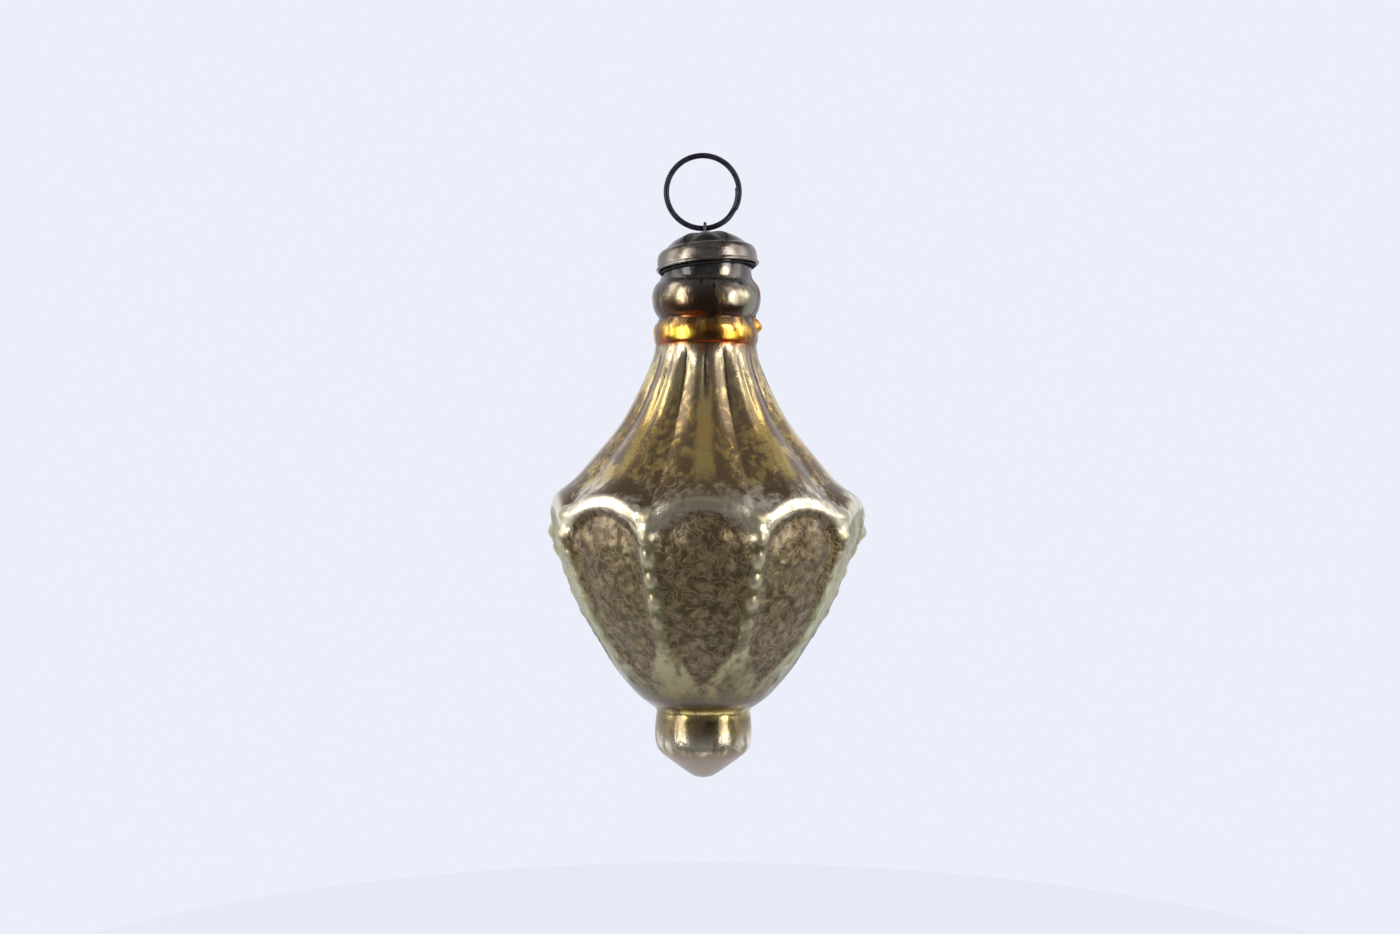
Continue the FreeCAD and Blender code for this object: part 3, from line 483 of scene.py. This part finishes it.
def buildMould(material):
    tree = bpy.data.node_groups.new("glassMould", "GeometryNodeTree")
    tree.interface.new_socket("Geometry", in_out="INPUT", socket_type="NodeSocketGeometry")
    for name, value in mould.items():
        socket = tree.interface.new_socket(name, in_out="INPUT", socket_type="NodeSocketFloat")
        socket.default_value = value
    tree.interface.new_socket("Geometry", in_out="OUTPUT", socket_type="NodeSocketGeometry")
    given = addNode(tree, "NodeGroupInput")
    known = {name: given.outputs[name] for name in mould}
    for name in ("drop", "turn", "outer"):
        read = addNode(tree, "GeometryNodeInputNamedAttribute", {"data_type": "FLOAT"}, {"Name": name})
        known[name] = read.outputs[0]
    place = addNode(tree, "GeometryNodeInputPosition").outputs[0]
    level = {0: place, 1: (perMetre, perMetre, 0)}
    flat = addNode(tree, "ShaderNodeVectorMath", {"operation": "MULTIPLY"}, level).outputs[0]
    length = addNode(tree, "ShaderNodeVectorMath", {"operation": "LENGTH"}, {0: flat})
    known["radius"] = length.outputs["Value"]
    addFormulas(tree, known, [
        ("share", "DIVIDE", "drop", glass["cone"][-1][1]),
        ("curlScale", "DIVIDE", 0.6, "Relief size"),
        ("scrollScale", "DIVIDE", 1.0, "Relief size"),
    ])
    for name, points in flutes:
        curve = addNode(tree, "ShaderNodeFloatCurve", {"points": points}, {"Value": known["share"]})
        known[name] = curve.outputs[0]
    enlarged = {0: place, "Scale": perMetre}
    millimetres = addNode(tree, "ShaderNodeVectorMath", {"operation": "SCALE"}, enlarged).outputs[0]
    curls = addNode(tree, "ShaderNodeTexNoise", {"noise_dimensions": "3D"}, {
        "Vector": millimetres, "Scale": known["curlScale"], "Detail": 2.0, "Distortion": 3.0,
    })
    scrolls = addNode(tree, "ShaderNodeTexVoronoi", {"feature": "SMOOTH_F1"}, {
        "Vector": millimetres, "Scale": known["scrollScale"], "Smoothness": 0.4,
    })
    waves = addNode(tree, "ShaderNodeTexNoise", {}, {
        "Vector": millimetres, "Scale": known["Wobble waves"], "Detail": 1.0,
    })
    known["curls"], known["scrolls"] = curls.outputs[0], scrolls.outputs["Distance"]
    known["wobbleShape"] = waves.outputs[0]
    addFormulas(tree, known, mouldRules)
    outwards = addNode(tree, "ShaderNodeVectorMath", {"operation": "NORMALIZE"}, {0: flat}).outputs[0]
    offset = {0: outwards, "Scale": known["outward"]}
    shift = addNode(tree, "ShaderNodeVectorMath", {"operation": "SCALE"}, offset).outputs[0]
    shaped = addNode(tree, "GeometryNodeSetPosition", {}, {
        "Geometry": given.outputs["Geometry"], "Offset": shift,
    }).outputs[0]
    for name in ("edge", "beadMask", "reliefShape", "ribShare", "ribSide"):
        shaped = addNode(tree, "GeometryNodeStoreNamedAttribute", {"data_type": "FLOAT", "domain": "POINT"}, {
            "Geometry": shaped, "Name": name, "Value": known[name],
        }).outputs[0]
    placed = addNode(tree, "GeometryNodeTransform", {}, {
        "Geometry": shaped, "Translation": glassPlace.to_translation(), "Rotation": glassPlace.to_euler(),
    })
    real = addNode(tree, "GeometryNodeRealizeInstances", {}, {0: placed.outputs[0]})
    coated = addNode(tree, "GeometryNodeSetMaterial", {}, {"Geometry": real.outputs[0], "Material": material})
    addNode(tree, "NodeGroupOutput", {}, {0: coated.outputs[0]})
    return tree


def applyTree(piece, tree, name):  # the tree's result as a plain mesh, without the blank and its modifier
    modifier = piece.modifiers.new("shape", "NODES")
    modifier.node_group = tree
    for item in tree.interface.items_tree:
        if item.in_out == "INPUT" and item.name in mould:
            modifier[item.identifier] = float(mould[item.name])
    evaluated = piece.evaluated_get(bpy.context.evaluated_depsgraph_get())
    made = bpy.data.objects.new(name, bpy.data.meshes.new_from_object(evaluated))
    made.data.name = name
    scene.collection.objects.link(made)
    blankMesh = piece.data
    bpy.data.objects.remove(piece)
    bpy.data.meshes.remove(blankMesh)
    for polygon in made.data.polygons:
        polygon.use_smooth = True
    return made


# Blown glass, silvered inside and lacquered: a gold mirror behind clear glass, which has gone dull and brown
# in clouds with age, with scrolled relief that hardly shines in the panels

glassFinish = {
    "clear": [  # tint of the mirror where the silvering is whole, from the mouth down. The dark collar is painted shade under the cap; the pale bands on the roll, at the finial's step and low on the finial are painted highlights, and the dark band just above the last of them is painted shade
        (0.0, "#4e4a52"), (0.055, "#5a5652"), (0.075, "#948870"), (0.095, "#a8946e"), (0.108, "#6a4c30"),
        (0.128, "#5f3814"), (0.136, "#b08c54"), (0.148, "#eec062"), (0.165, "#dc9a28"), (0.176, "#b04a10"),
        (0.181, "#a8713c"), (0.188, "#c8bc9c"), (0.24, "#d8c690"), (0.33, "#d2ae62"), (0.43, "#ccb26c"),
        (0.47, "#f6ead0"), (0.52, "#f0e6c6"), (0.56, "#cfc698"), (0.72, "#b4b088"), (0.83, "#8a7c54"),
        (0.85, "#5a4e38"), (0.862, "#dcc478"), (0.87, "#e0c87c"), (0.885, "#5e5030"), (0.905, "#988860"),
        (0.93, "#fff6dc"), (0.95, "#b8a67c"), (1.0, "#a69884"),
    ],
    "clouded": [  # tint where it has gone dull; dark at the collar as painted shade under the cap
        (0.0, "#504b52"), (0.06, "#58524a"), (0.1, "#3c2a1c"), (0.13, "#30200f"), (0.15, "#7a5012"),
        (0.18, "#5c3a1c"), (0.2, "#94836a"), (0.3, "#7a6546"), (0.44, "#6c563a"), (0.5, "#6e583c"),
        (0.62, "#8a8258"), (0.8, "#86805a"), (0.85, "#5a4c38"), (0.87, "#7c6a48"), (0.96, "#94826f"),
        (1.0, "#a69a88"),
    ],
    "mottling": [  # how much of the surface is clouded, the paler the more
        (0.0, "#a0a0a0"), (0.18, "#8c8c8c"), (0.25, "#909090"), (0.36, "#a8a8a8"), (0.45, "#aaaaaa"),
        (0.49, "#909090"), (0.56, "#808080"), (0.75, "#787878"), (0.87, "#989898"), (0.93, "#707070"),
        (0.95, "#a0a0a0"), (0.965, "#e4e4e4"),
    ],
    "panel": "#4f3d27",
    "panelLight": "#a08d69",
    "panelPaint": 0.9,  # how far the paint hides the mirror in the panels
    "lowPaint": 0.6,  # and in the patches near the foot
    # painted shade down the creases of the flare
    "crease": "#4a3226",
    "creaseShadePaint": 0.8,
    "bead": "#b5aa8a",
    "streak": 3.4,  # the more, the more streaks go round the glass
    "streakStretch": 0.05,
    "mottle": 1.3,  # millimetres between small clouds
    "speck": 2.3,  # millimetres between the scrolled lines in a panel
    "blotch": 4.0,  # millimetres between large clouds
    "grain": 0.4,  # the dust in old lacquer is far finer, and is drawn this coarse to show
    "mirror": 0.96,  # how metallic it is where it is clear
    "dull": 0.82,  # and where it has gone dull
    "smooth": 0.18,
    "rough": 0.27,
    "roughPanel": 0.52,
    "roughBead": 0.22,
    "roughRoll": 0.1,
    "roughGrain": 0.06,
    "coat": 0.3,
    "coatRough": 0.12,
    "bump": 0.2,
    "bumpDepth": 0.0003,  # metres
    # Where each finish begins and is full, or ends: drops in millimetres
    "flareBegins": (20.0, 27.0),
    "flareEnds": (44.0, 38.0),
    "bareBegins": (41.0, 43.0),
    "bareEnds": (51.5, 48.5),
    "panelsEnd": (80.0, 77.0),
    "patchesBegin": (62.0, 70.0),
    "beadsFade": (74.0, 60.0),
    "creaseBegins": (17.5, 19.5),
    "creaseEnds": (33.0, 26.0),
    # Across, in millimetres: how far outside a panel the roll has its crest, and half widths
    "rollOutside": 1.7,
    "rollHalf": (2.2, 0.8),
    "creaseHalf": (0.6, 0.1),
    "markRagged": 0.9,  # how uneven the edge of a mark is
    "markEdge": (1.7, 0.6),  # where a mark begins and is full, in its half widths squared
}
marks = [  # spots of other lacquer, and spots of painted highlight, reflection, glow and shade: degrees to the right, drop, half width, half height, colour, share
    ("paleSkin", 54, 9.6, 14, 2.8, "#8d8c78", 0.8),
    ("orangeDrip", 84, 13.2, 9, 1.5, "#d08a3c", 0.9),
    ("thinDrip", 76, 6.4, 5, 2.6, "#9a6a40", 0.8),
    ("flakeRight", 8, 7.0, 1.6, 0.9, "#120d0a", 0.9),
    ("flakeLeft", -6, 6.3, 2.4, 0.6, "#15100c", 0.9),
    ("zigzag", 41, 6.4, 4.5, 0.45, "#1a1410", 0.85),
    # painted highlight on the collar under the cap
    ("collarSpot", 23, 4.3, 7, 0.9, "#c9bb92", 0.8),
    # painted glow: orange light under the bulge
    ("glowUnderBulge", -16, 11.9, 20, 0.7, "#9a4c14", 0.7),
    # painted highlights on the amber ring, one on each side
    ("yellowLeft", -28, 15.3, 17, 1.2, "#ffd24a", 0.9),
    ("yellowRight", 33, 15.6, 8, 0.9, "#e8ab30", 0.9),
    # painted shade in the middle of the amber ring, between its highlights
    ("darkMiddle", 6, 15.6, 12, 0.9, "#4a260c", 0.9),
    ("redLine", 18, 16.75, 34, 0.22, "#d05018", 0.85),
    ("redEnd", -3, 18.1, 3.5, 0.8, "#a5521c", 0.6),
    # painted shade over the roll on the side that faces the camera
    ("patinaInFront", 1, 44.2, 16, 2.0, "#8a7450", 0.5),
    ("seam", 0.5, 22.0, 3.6, 5.5, "#4a3226", 0.85),
    # painted shade on the left edge of the amber ring
    ("ringLeftEdge", -64, 15.2, 12, 2.0, "#5a3a18", 0.7),
    # painted shade over the left of the collar, under the cap
    ("collarShade", -38, 3.0, 32, 3.0, "#2a282c", 0.75),
    # painted highlight on the right of the bulge
    ("bulgeGlint", 36, 9.0, 14, 1.6, "#d8caa6", 0.7),
    # greenish lacquer with a painted reflection of the pale backdrop, on both sides of the lower body
    ("greenLeft", -66, 66.0, 11, 12.0, "#bcc096", 0.6),
    ("greenRight", 65, 66.0, 11, 12.0, "#bcc096", 0.6),
    # painted reflections of the pale backdrop on both sides of the shoulder
    ("paleAtFoot", 84, 55.0, 22, 14.0, "#c8c69c", 0.5),
    ("paleAtLeft", -86, 55.0, 22, 14.0, "#c8c69c", 0.5),
]


def glassMaterial():
    material, tree, shader, place = startMaterial("silveredLacqueredBlownGlass")
    smooth, rough, mirror = glassFinish["smooth"], glassFinish["rough"], glassFinish["mirror"]
    known = {}
    for name in ("drop", "turnCosine", "turnSine", "edge", "beadMask", "reliefShape", "ribShare", "ribSide"):
        known[name] = addNode(tree, "ShaderNodeAttribute", {"attribute_name": name}).outputs["Fac"]
    addFormulas(tree, known, [
        ("share", "DIVIDE", "drop", glass["cone"][-1][1]),
        ("turnRadians", "ARCTAN2", "turnSine", "turnCosine"),
        ("turn", "DEGREES", "turnRadians"),
        ("streakX", "MULTIPLY", "turnCosine", glassFinish["streak"]),
        ("streakY", "MULTIPLY", "turnSine", glassFinish["streak"]),
        ("streakZ", "MULTIPLY", "drop", glassFinish["streakStretch"]),
    ])
    ramps = {}
    for name in ("clear", "clouded", "mottling"):
        ramp = addNode(tree, "ShaderNodeValToRGB", {"stops": glassFinish[name]}, {"Fac": known["share"]})
        ramps[name] = ramp.outputs[0]
    known["mottling"] = ramps["mottling"]
    streakPlace = addNode(tree, "ShaderNodeCombineXYZ", {}, {
        "X": known["streakX"], "Y": known["streakY"], "Z": known["streakZ"],
    }).outputs[0]
    # Small and large clouds are twice as tall as wide
    upright = addNode(tree, "ShaderNodeMapping", {}, {"Vector": place, "Scale": (1, 1, 0.5)}).outputs[0]
    for name, vector, scale, detail, warp in (
        ("streaks", streakPlace, 1.0, 4.0, 0.4),
        ("mottles", upright, 1 / glassFinish["mottle"], 6.0, 0.8),
        ("specks", place, 1 / glassFinish["speck"], 4.0, 1.2),
        ("blotches", upright, 1 / glassFinish["blotch"], 4.0, 0.6),
        ("grains", place, 1 / glassFinish["grain"], 2.0, 0.0),
    ):
        inputs = {"Vector": vector, "Scale": scale, "Detail": detail, "Distortion": warp}
        known[name] = addNode(tree, "ShaderNodeTexNoise", {}, inputs).outputs[0]
    addFormulas(tree, known, [
        # Gold streaks down the middle of each lobe, brown clouds between them
        ("streakSpread", "MULTIPLY_ADD", "streaks", 0.9, "ribShare"),
        ("inLobe", "SMOOTHSTEP", "streakSpread", 1.0, 1.4),
        ("onFlare", "SMOOTHSTEP", "drop", *glassFinish["flareBegins"]),
        ("aboveRoll", "SMOOTHSTEP", "drop", *glassFinish["flareEnds"]),
        ("flareOnly", "MULTIPLY", "onFlare", "aboveRoll"),
        ("goldStreak", "MULTIPLY", "inLobe", "flareOnly"),
        ("mixedNoise", "MULTIPLY_ADD", "mottles", 0.62, "blotches"),
        ("noiseMore", "MULTIPLY_ADD", "streaks", 0.35, "mixedNoise"),
        ("noiseMiddle", "SUBTRACT", "noiseMore", 0.985),
        ("bias", "MULTIPLY_ADD", "mottling", 0.5, "noiseMiddle"),
        ("clouds", "SMOOTHSTEP", "bias", -0.04, 0.24),
        ("goldSoft", "MULTIPLY_ADD", "mottles", 1.3, "goldStreak"),
        ("goldHere", "SMOOTHSTEP", "goldSoft", 0.85, 1.75),
        ("goldLeft", "MULTIPLY_ADD", "goldHere", -0.9, 1.0),
        ("cloudsLeft", "MULTIPLY", "clouds", "goldLeft"),
        ("nearCrease", "SMOOTHSTEP", "ribShare", 0.75, 0.2),
        ("creaseBrown", "MULTIPLY", "nearCrease", "flareOnly"),
        ("brownSoft", "MULTIPLY_ADD", "mottles", 0.9, "creaseBrown"),
        ("brownShape", "SMOOTHSTEP", "brownSoft", 0.65, 1.35),
        ("brownMottle", "SMOOTHSTEP", "mottles", 0.3, 0.6),
        ("brownHere", "MULTIPLY", "brownShape", "brownMottle"),
        ("cloudsHere", "MAXIMUM", "cloudsLeft", "brownHere"),
        # The crest of the roll, bare of clouds, so that its pale tint paints a highlight along the arches
        ("offRoll", "ADD", "edge", glassFinish["rollOutside"]),
        ("besideRoll", "ABSOLUTE", "offRoll"),
        ("onRoll", "SMOOTHSTEP", "besideRoll", *glassFinish["rollHalf"]),
        ("rollStart", "SMOOTHSTEP", "drop", *glassFinish["bareBegins"]),
        ("rollEnd", "SMOOTHSTEP", "drop", *glassFinish["bareEnds"]),
        ("rollRun", "MULTIPLY", "rollStart", "rollEnd"),
        ("bareAll", "MULTIPLY", "onRoll", "rollRun"),
        ("bareShare", "SMOOTHSTEP", "blotches", 0.36, 0.56),
        ("bareRoll", "MULTIPLY", "bareAll", "bareShare"),
        ("rollCloud", "MULTIPLY_ADD", "bareRoll", -0.85, 1.0),
        ("cloud", "MULTIPLY", "cloudsHere", "rollCloud"),
        # Dull paint in the panels, paler on its relief and scrolls, and patches of it lower down
        ("raisedHere", "SMOOTHSTEP", "reliefShape", -0.1, 0.45),
        ("speckOff", "SUBTRACT", "specks", 0.5),
        ("speckAway", "ABSOLUTE", "speckOff"),
        ("scrollLine", "SMOOTHSTEP", "speckAway", 0.1, 0.0),
        ("scrollShare", "MULTIPLY", "scrollLine", 0.45),
        ("panelSpots", "MULTIPLY_ADD", "raisedHere", 0.35, "scrollShare"),
        # the paint also covers the panel walls, where its dark brown is partly painted shade beside the ribs
        ("ragged", "MULTIPLY_ADD", "mottles", 1.6, "edge"),
        ("panelMask", "SMOOTHSTEP", "ragged", -0.1, 1.2),
        ("panelEnd", "SMOOTHSTEP", "drop", *glassFinish["panelsEnd"]),
        ("panelMost", "MULTIPLY", "panelEnd", glassFinish["panelPaint"]),
        ("panelPainted", "MULTIPLY", "panelMask", "panelMost"),
        ("lowRun", "SMOOTHSTEP", "drop", *glassFinish["patchesBegin"]),
        ("lowBlotch", "SMOOTHSTEP", "blotches", 0.42, 0.54),
        ("lowHere", "MULTIPLY", "lowRun", "lowBlotch"),
        ("lowPatina", "MULTIPLY", "lowHere", "panelEnd"),
        ("lowPainted", "MULTIPLY", "lowPatina", glassFinish["lowPaint"]),
        ("panelHere", "MAXIMUM", "panelPainted", "lowPainted"),
        ("dullness", "MAXIMUM", "cloud", "panelHere"),
        # How rough each of them is, the pale tops of the beads, and the bumps
        ("roughCloud", "MULTIPLY_ADD", "cloud", rough - smooth, smooth),
        ("roughTall", "MULTIPLY_ADD", "panelHere", glassFinish["roughPanel"] - rough, "roughCloud"),
        ("roughBead", "MULTIPLY_ADD", "beadMask", glassFinish["roughBead"], "roughTall"),
        ("roughRoll", "MULTIPLY_ADD", "bareRoll", glassFinish["roughRoll"], "roughBead"),
        ("roughness", "MULTIPLY_ADD", "grains", glassFinish["roughGrain"], "roughRoll"),
        ("beadPale", "SMOOTHSTEP", "beadMask", 0.0, 0.6),
        ("beadNear", "SMOOTHSTEP", "drop", *glassFinish["beadsFade"]),
        ("beadShade", "MULTIPLY", "beadPale", "beadNear"),
        ("scrollBump", "MULTIPLY", "scrollLine", "panelHere"),
        ("bumpHeight", "MULTIPLY_ADD", "scrollBump", 0.8, "mottles"),
        ("mirror", "MULTIPLY_ADD", "dullness", glassFinish["dull"] - mirror, mirror),
    ])
    inPanel = addNode(tree, "ShaderNodeMix", {"data_type": "RGBA"}, {
        "Factor": known["panelSpots"],
        "A": hexColour(glassFinish["panel"]),
        "B": hexColour(glassFinish["panelLight"]),
    }).outputs["Result"]
    colour = ramps["clear"]
    for factor, over in (
        ("cloud", ramps["clouded"]),
        ("panelHere", inPanel),
        ("beadShade", hexColour(glassFinish["bead"])),
    ):
        colour = addNode(tree, "ShaderNodeMix", {"data_type": "RGBA"}, {
            "Factor": known[factor], "A": colour, "B": over,
        }).outputs["Result"]
    # Painted shade: a dark line down each crease of the flare
    addFormulas(tree, known, [
        ("inCrease", "SMOOTHSTEP", "ribSide", *glassFinish["creaseHalf"]),
        ("creaseTop", "SMOOTHSTEP", "drop", *glassFinish["creaseBegins"]),
        ("creaseEnd", "SMOOTHSTEP", "drop", *glassFinish["creaseEnds"]),
        ("creaseRun", "MULTIPLY", "creaseTop", "creaseEnd"),
        ("creaseLine", "MULTIPLY", "inCrease", "creaseRun"),
        ("creaseDark", "MULTIPLY", "creaseLine", glassFinish["creaseShadePaint"]),
    ])
    colour = addNode(tree, "ShaderNodeMix", {"data_type": "RGBA"}, {
        "Factor": known["creaseDark"], "A": colour, "B": hexColour(glassFinish["crease"]),
    }).outputs["Result"]
    for name, side, drop, halfWidth, halfHeight, tint, share in marks:
        addFormulas(tree, known, [
            ("markTurn", "SUBTRACT", "turn", front + side),
            ("markWrapped", "WRAP", "markTurn", 180, -180),
            ("markAcross", "DIVIDE", "markWrapped", halfWidth),
            ("markDown", "SUBTRACT", "drop", drop),
            ("markAlong", "DIVIDE", "markDown", halfHeight),
            ("markSquare", "MULTIPLY", "markAlong", "markAlong"),
            ("markSum", "MULTIPLY_ADD", "markAcross", "markAcross", "markSquare"),
            ("markRagged", "MULTIPLY_ADD", "mottles", glassFinish["markRagged"], "markSum"),
            ("markMask", "SMOOTHSTEP", "markRagged", *glassFinish["markEdge"]),
            ("markShare", "MULTIPLY", "markMask", share),
        ])
        colour = addNode(tree, "ShaderNodeMix", {"data_type": "RGBA", "label": name}, {
            "Factor": known["markShare"], "A": colour, "B": hexColour(tint),
        }).outputs["Result"]
    tree.links.new(colour, shader.inputs["Base Color"])
    tree.links.new(known["roughness"], shader.inputs["Roughness"])
    tree.links.new(known["mirror"], shader.inputs["Metallic"])
    shader.inputs["Coat Weight"].default_value = glassFinish["coat"]
    shader.inputs["Coat Roughness"].default_value = glassFinish["coatRough"]
    bump = addNode(tree, "ShaderNodeBump", {}, {
        "Height": known["bumpHeight"], "Strength": glassFinish["bump"], "Distance": glassFinish["bumpDepth"],
    })
    tree.links.new(bump.outputs[0], shader.inputs["Normal"])
    return material


glassBody = applyTree(turnBlank(), buildMould(glassMaterial()), "blownGlass")
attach(glassBody, "ornament")
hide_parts("glass_body")
print("glass:", len(glassBody.data.polygons), "faces")


# Metals and cement

def metalMaterial(settings):
    material, tree, shader, place = startMaterial(settings["name"])
    stain = addNode(tree, "ShaderNodeTexNoise", {}, {
        "Vector": place, "Scale": 1 / settings["stainSize"], "Detail": 5.0, "Distortion": 0.6,
    }).outputs[0]
    grain = addNode(tree, "ShaderNodeTexNoise", {}, {
        "Vector": place, "Scale": 1 / settings["grainSize"], "Detail": 3.0,
    }).outputs[0]
    stops = [(wear["darkEnds"], settings["dark"]), (wear["lightBegins"], settings["light"])]
    ramp = addNode(tree, "ShaderNodeValToRGB", {"stops": stops}, {"Fac": stain}).outputs[0]
    height = addNode(tree, "ShaderNodeSeparateXYZ", {}, {0: place}).outputs["Z"]
    topTintFrom, rough = settings["topTintFrom"], settings["rough"]
    # Each metal is tinted darker towards its top, which darkens the dome of the cap
    topTint = addNode(tree, "ShaderNodeMapRange", {}, {
        "Value": height, "From Min": topTintFrom - wear["topTintDepth"], "From Max": topTintFrom,
        "To Max": wear["topTintShare"],
    }).outputs[0]
    tinted = addNode(tree, "ShaderNodeMix", {"data_type": "RGBA"}, {
        "Factor": topTint, "A": ramp, "B": hexColour(settings["topTint"]),
    })
    tree.links.new(tinted.outputs["Result"], shader.inputs["Base Color"])
    roughness = addNode(tree, "ShaderNodeMapRange", {}, {
        "Value": stain, "To Min": rough - wear["smoother"], "To Max": rough + wear["rougher"],
    })
    tree.links.new(roughness.outputs[0], shader.inputs["Roughness"])
    shader.inputs["Metallic"].default_value = settings["metallic"]
    bump = addNode(tree, "ShaderNodeBump", {}, {
        "Height": grain, "Strength": settings["bump"], "Distance": wear["bumpDepth"],
    })
    tree.links.new(bump.outputs[0], shader.inputs["Normal"])
    return material


def refinish(node, material):
    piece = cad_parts[node]
    piece.data.materials.clear()
    piece.data.materials.append(material)


wear = {
    "topTintDepth": 1.0, "topTintShare": 0.6,  # the top tint grows over so many millimetres, up to this share
    "darkEnds": 0.35, "lightBegins": 0.65,  # of the stains
    "smoother": 0.08, "rougher": 0.12,  # than the metal as a whole
    "bumpDepth": 0.0001,  # metres
}
metals = {  # sizes in millimetres; the grains are drawn a few times too coarse, so that they show
    # Tinned sheet, pressed and tarnished: a satin shine with brown stains, and a darker dome
    "cap": {
        "name": "tarnishedPressedTinplate", "dark": "#51473e", "light": "#958c82", "stainSize": 4.0,
        "grainSize": 0.25, "rough": 0.26, "metallic": 1.0, "bump": 0.25, "topTint": "#2e241c",
        "topTintFrom": -15.6,
    },
    # Steel wire pulled through a die: plain grey with a dull, blurred line of light
    "spring_clip": {
        "name": "drawnSpringSteel", "dark": "#3c3a39", "light": "#5c5957", "stainSize": 1.5,
        "grainSize": 0.1, "rough": 0.4, "metallic": 1.0, "bump": 0.2, "topTint": "#2e2a28", "topTintFrom": -11,
    },
    # Iron wire softened in the fire: its black scale looks bluish and takes the light unevenly
    "hanger_ring": {
        "name": "annealedBlackIronWire", "dark": "#24222b", "light": "#3a3843", "stainSize": 1.2,
        "grainSize": 0.12, "rough": 0.46, "metallic": 0.8, "bump": 0.35, "topTint": "#2a2832", "topTintFrom": 2,
    },
    # Cement squeezed out by hand: black and matt, so that only its lumps show
    "cement_bead": {
        "name": "blackMattCement", "dark": "#0b0a0a", "light": "#191716", "stainSize": 0.8,
        "grainSize": 0.15, "rough": 0.8, "metallic": 0.0, "bump": 0.6, "topTint": "#0b0a0a", "topTintFrom": 2,
    },
}
finishes = {node: metalMaterial(settings) for node, settings in metals.items()}
for node in ("spring_clip", "hanger_ring"):
    refinish(node, finishes[node])
print("metals and cement:", len(finishes), "materials")


# Cap: turned sheet with petals embossed in its dome. Cement: a thin line with a blob at each end

cap = {
    "offset": 0.42, "height": -13.4, "tilt": 4.5, "backTilt": 3.5,
    "dome": [(1.6, 0.12), (3.0, 0.4), (4.5, 0.95), (6.0, 1.75), (7.2, 2.55), (7.6, 2.8)],
    "band": [(7.6, 2.8), (8.2, 3.05), (8.7, 3.6), (8.93, 4.3), (9.0, 5.2), (9.0, 5.85)],
    "lip": [(9.0, 5.85), (9.2, 5.95), (9.28, 6.15), (9.2, 6.38), (8.95, 6.45), (8.68, 6.35)],
    "inside": [(8.68, 6.35), (8.62, 5.0), (8.3, 3.7), (7.5, 3.1), (5.9, 2.05), (3.0, 0.75), (1.6, 0.5)],
    "around": 160, "spacing": 0.3, "petals": 8, "petalRise": 0.42, "petalMiddle": 5.0, "petalReach": 2.5,
}
cement = {
    "radius": 8.35, "drop": 6.75, "thickness": 0.2, "around": 200, "sides": 10,
    "even": 0.75, "lumpy": 0.5,  # shares of the thickness
    "waves": (3, 7),  # round the line, which together make its lumps uneven
    "blobs": [(-82, 0.42, 7), (80, 0.25, 10), (-40, 0.08, 30)],  # degrees to the right, extra, spread
}
capPlace = Matrix.Translation((cap["offset"] * mm, 0, cap["height"] * mm)) @ Matrix.Rotation(
    math.radians(-cap["tilt"]), 4, "Y") @ Matrix.Rotation(math.radians(-cap["backTilt"]), 4, "X")


def turnLoop(name, rows, around):  # closed all round, so that no edge is left open
    vertices = [capPlace @ Vector(point) for row in rows for point in row]
    faces = [
        (row * around + step, (row + 1) % len(rows) * around + step,
         (row + 1) % len(rows) * around + (step + 1) % around, row * around + (step + 1) % around)
        for row in range(len(rows)) for step in range(around)
    ]
    return addMesh(name, vertices, faces)


def capRows():
    rows = []
    for part in ("dome", "band", "lip", "inside"):
        for radius, drop in smoothRun(cap[part], cap["spacing"]):
            share = (radius - cap["petalMiddle"]) / cap["petalReach"]
            reach = max(0.0, 1 - share**2) if part in ("dome", "inside") else 0.0
            row = []
            for step in range(cap["around"]):
                turn = math.tau * step / cap["around"]
                rise = cap["petalRise"] * reach * abs(math.cos(cap["petals"] * turn / 2))
                row.append((radius * math.cos(turn) * mm, radius * math.sin(turn) * mm, (rise - drop) * mm))
            rows.append(row)
    return rows


def cementRows():
    rows = []
    few, many = cement["waves"]
    for side in range(cement["sides"]):
        way = -math.tau * side / cement["sides"]
        row = []
        for step in range(cement["around"]):
            turn = math.tau * step / cement["around"]
            lumps = cement["lumpy"] * abs(math.sin(few * turn) * math.cos(many * turn))
            size = cement["thickness"] * (cement["even"] + lumps)
            for azimuth, extra, spread in cement["blobs"]:
                apart = (math.degrees(turn) - front - azimuth + 180) % 360 - 180
                size += extra * math.exp(-((apart / spread) ** 2))
            radius = cement["radius"] + size * math.cos(way)
            height = size * math.sin(way) - cement["drop"]
            row.append((radius * math.cos(turn) * mm, radius * math.sin(turn) * mm, height * mm))
        rows.append(row)
    return rows


for name, rows, around, node, slot in (
    ("pressedCap", capRows(), cap["around"], "cap", "cap_metal"),
    ("squeezedCement", cementRows(), cement["around"], "cement_bead", "black_cement"),
):
    piece = turnLoop(name, rows, around)
    piece.data.materials.append(finishes[node])
    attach(piece, "ornament")
    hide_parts(node)
    print(name + ":", len(piece.data.polygons), "faces")
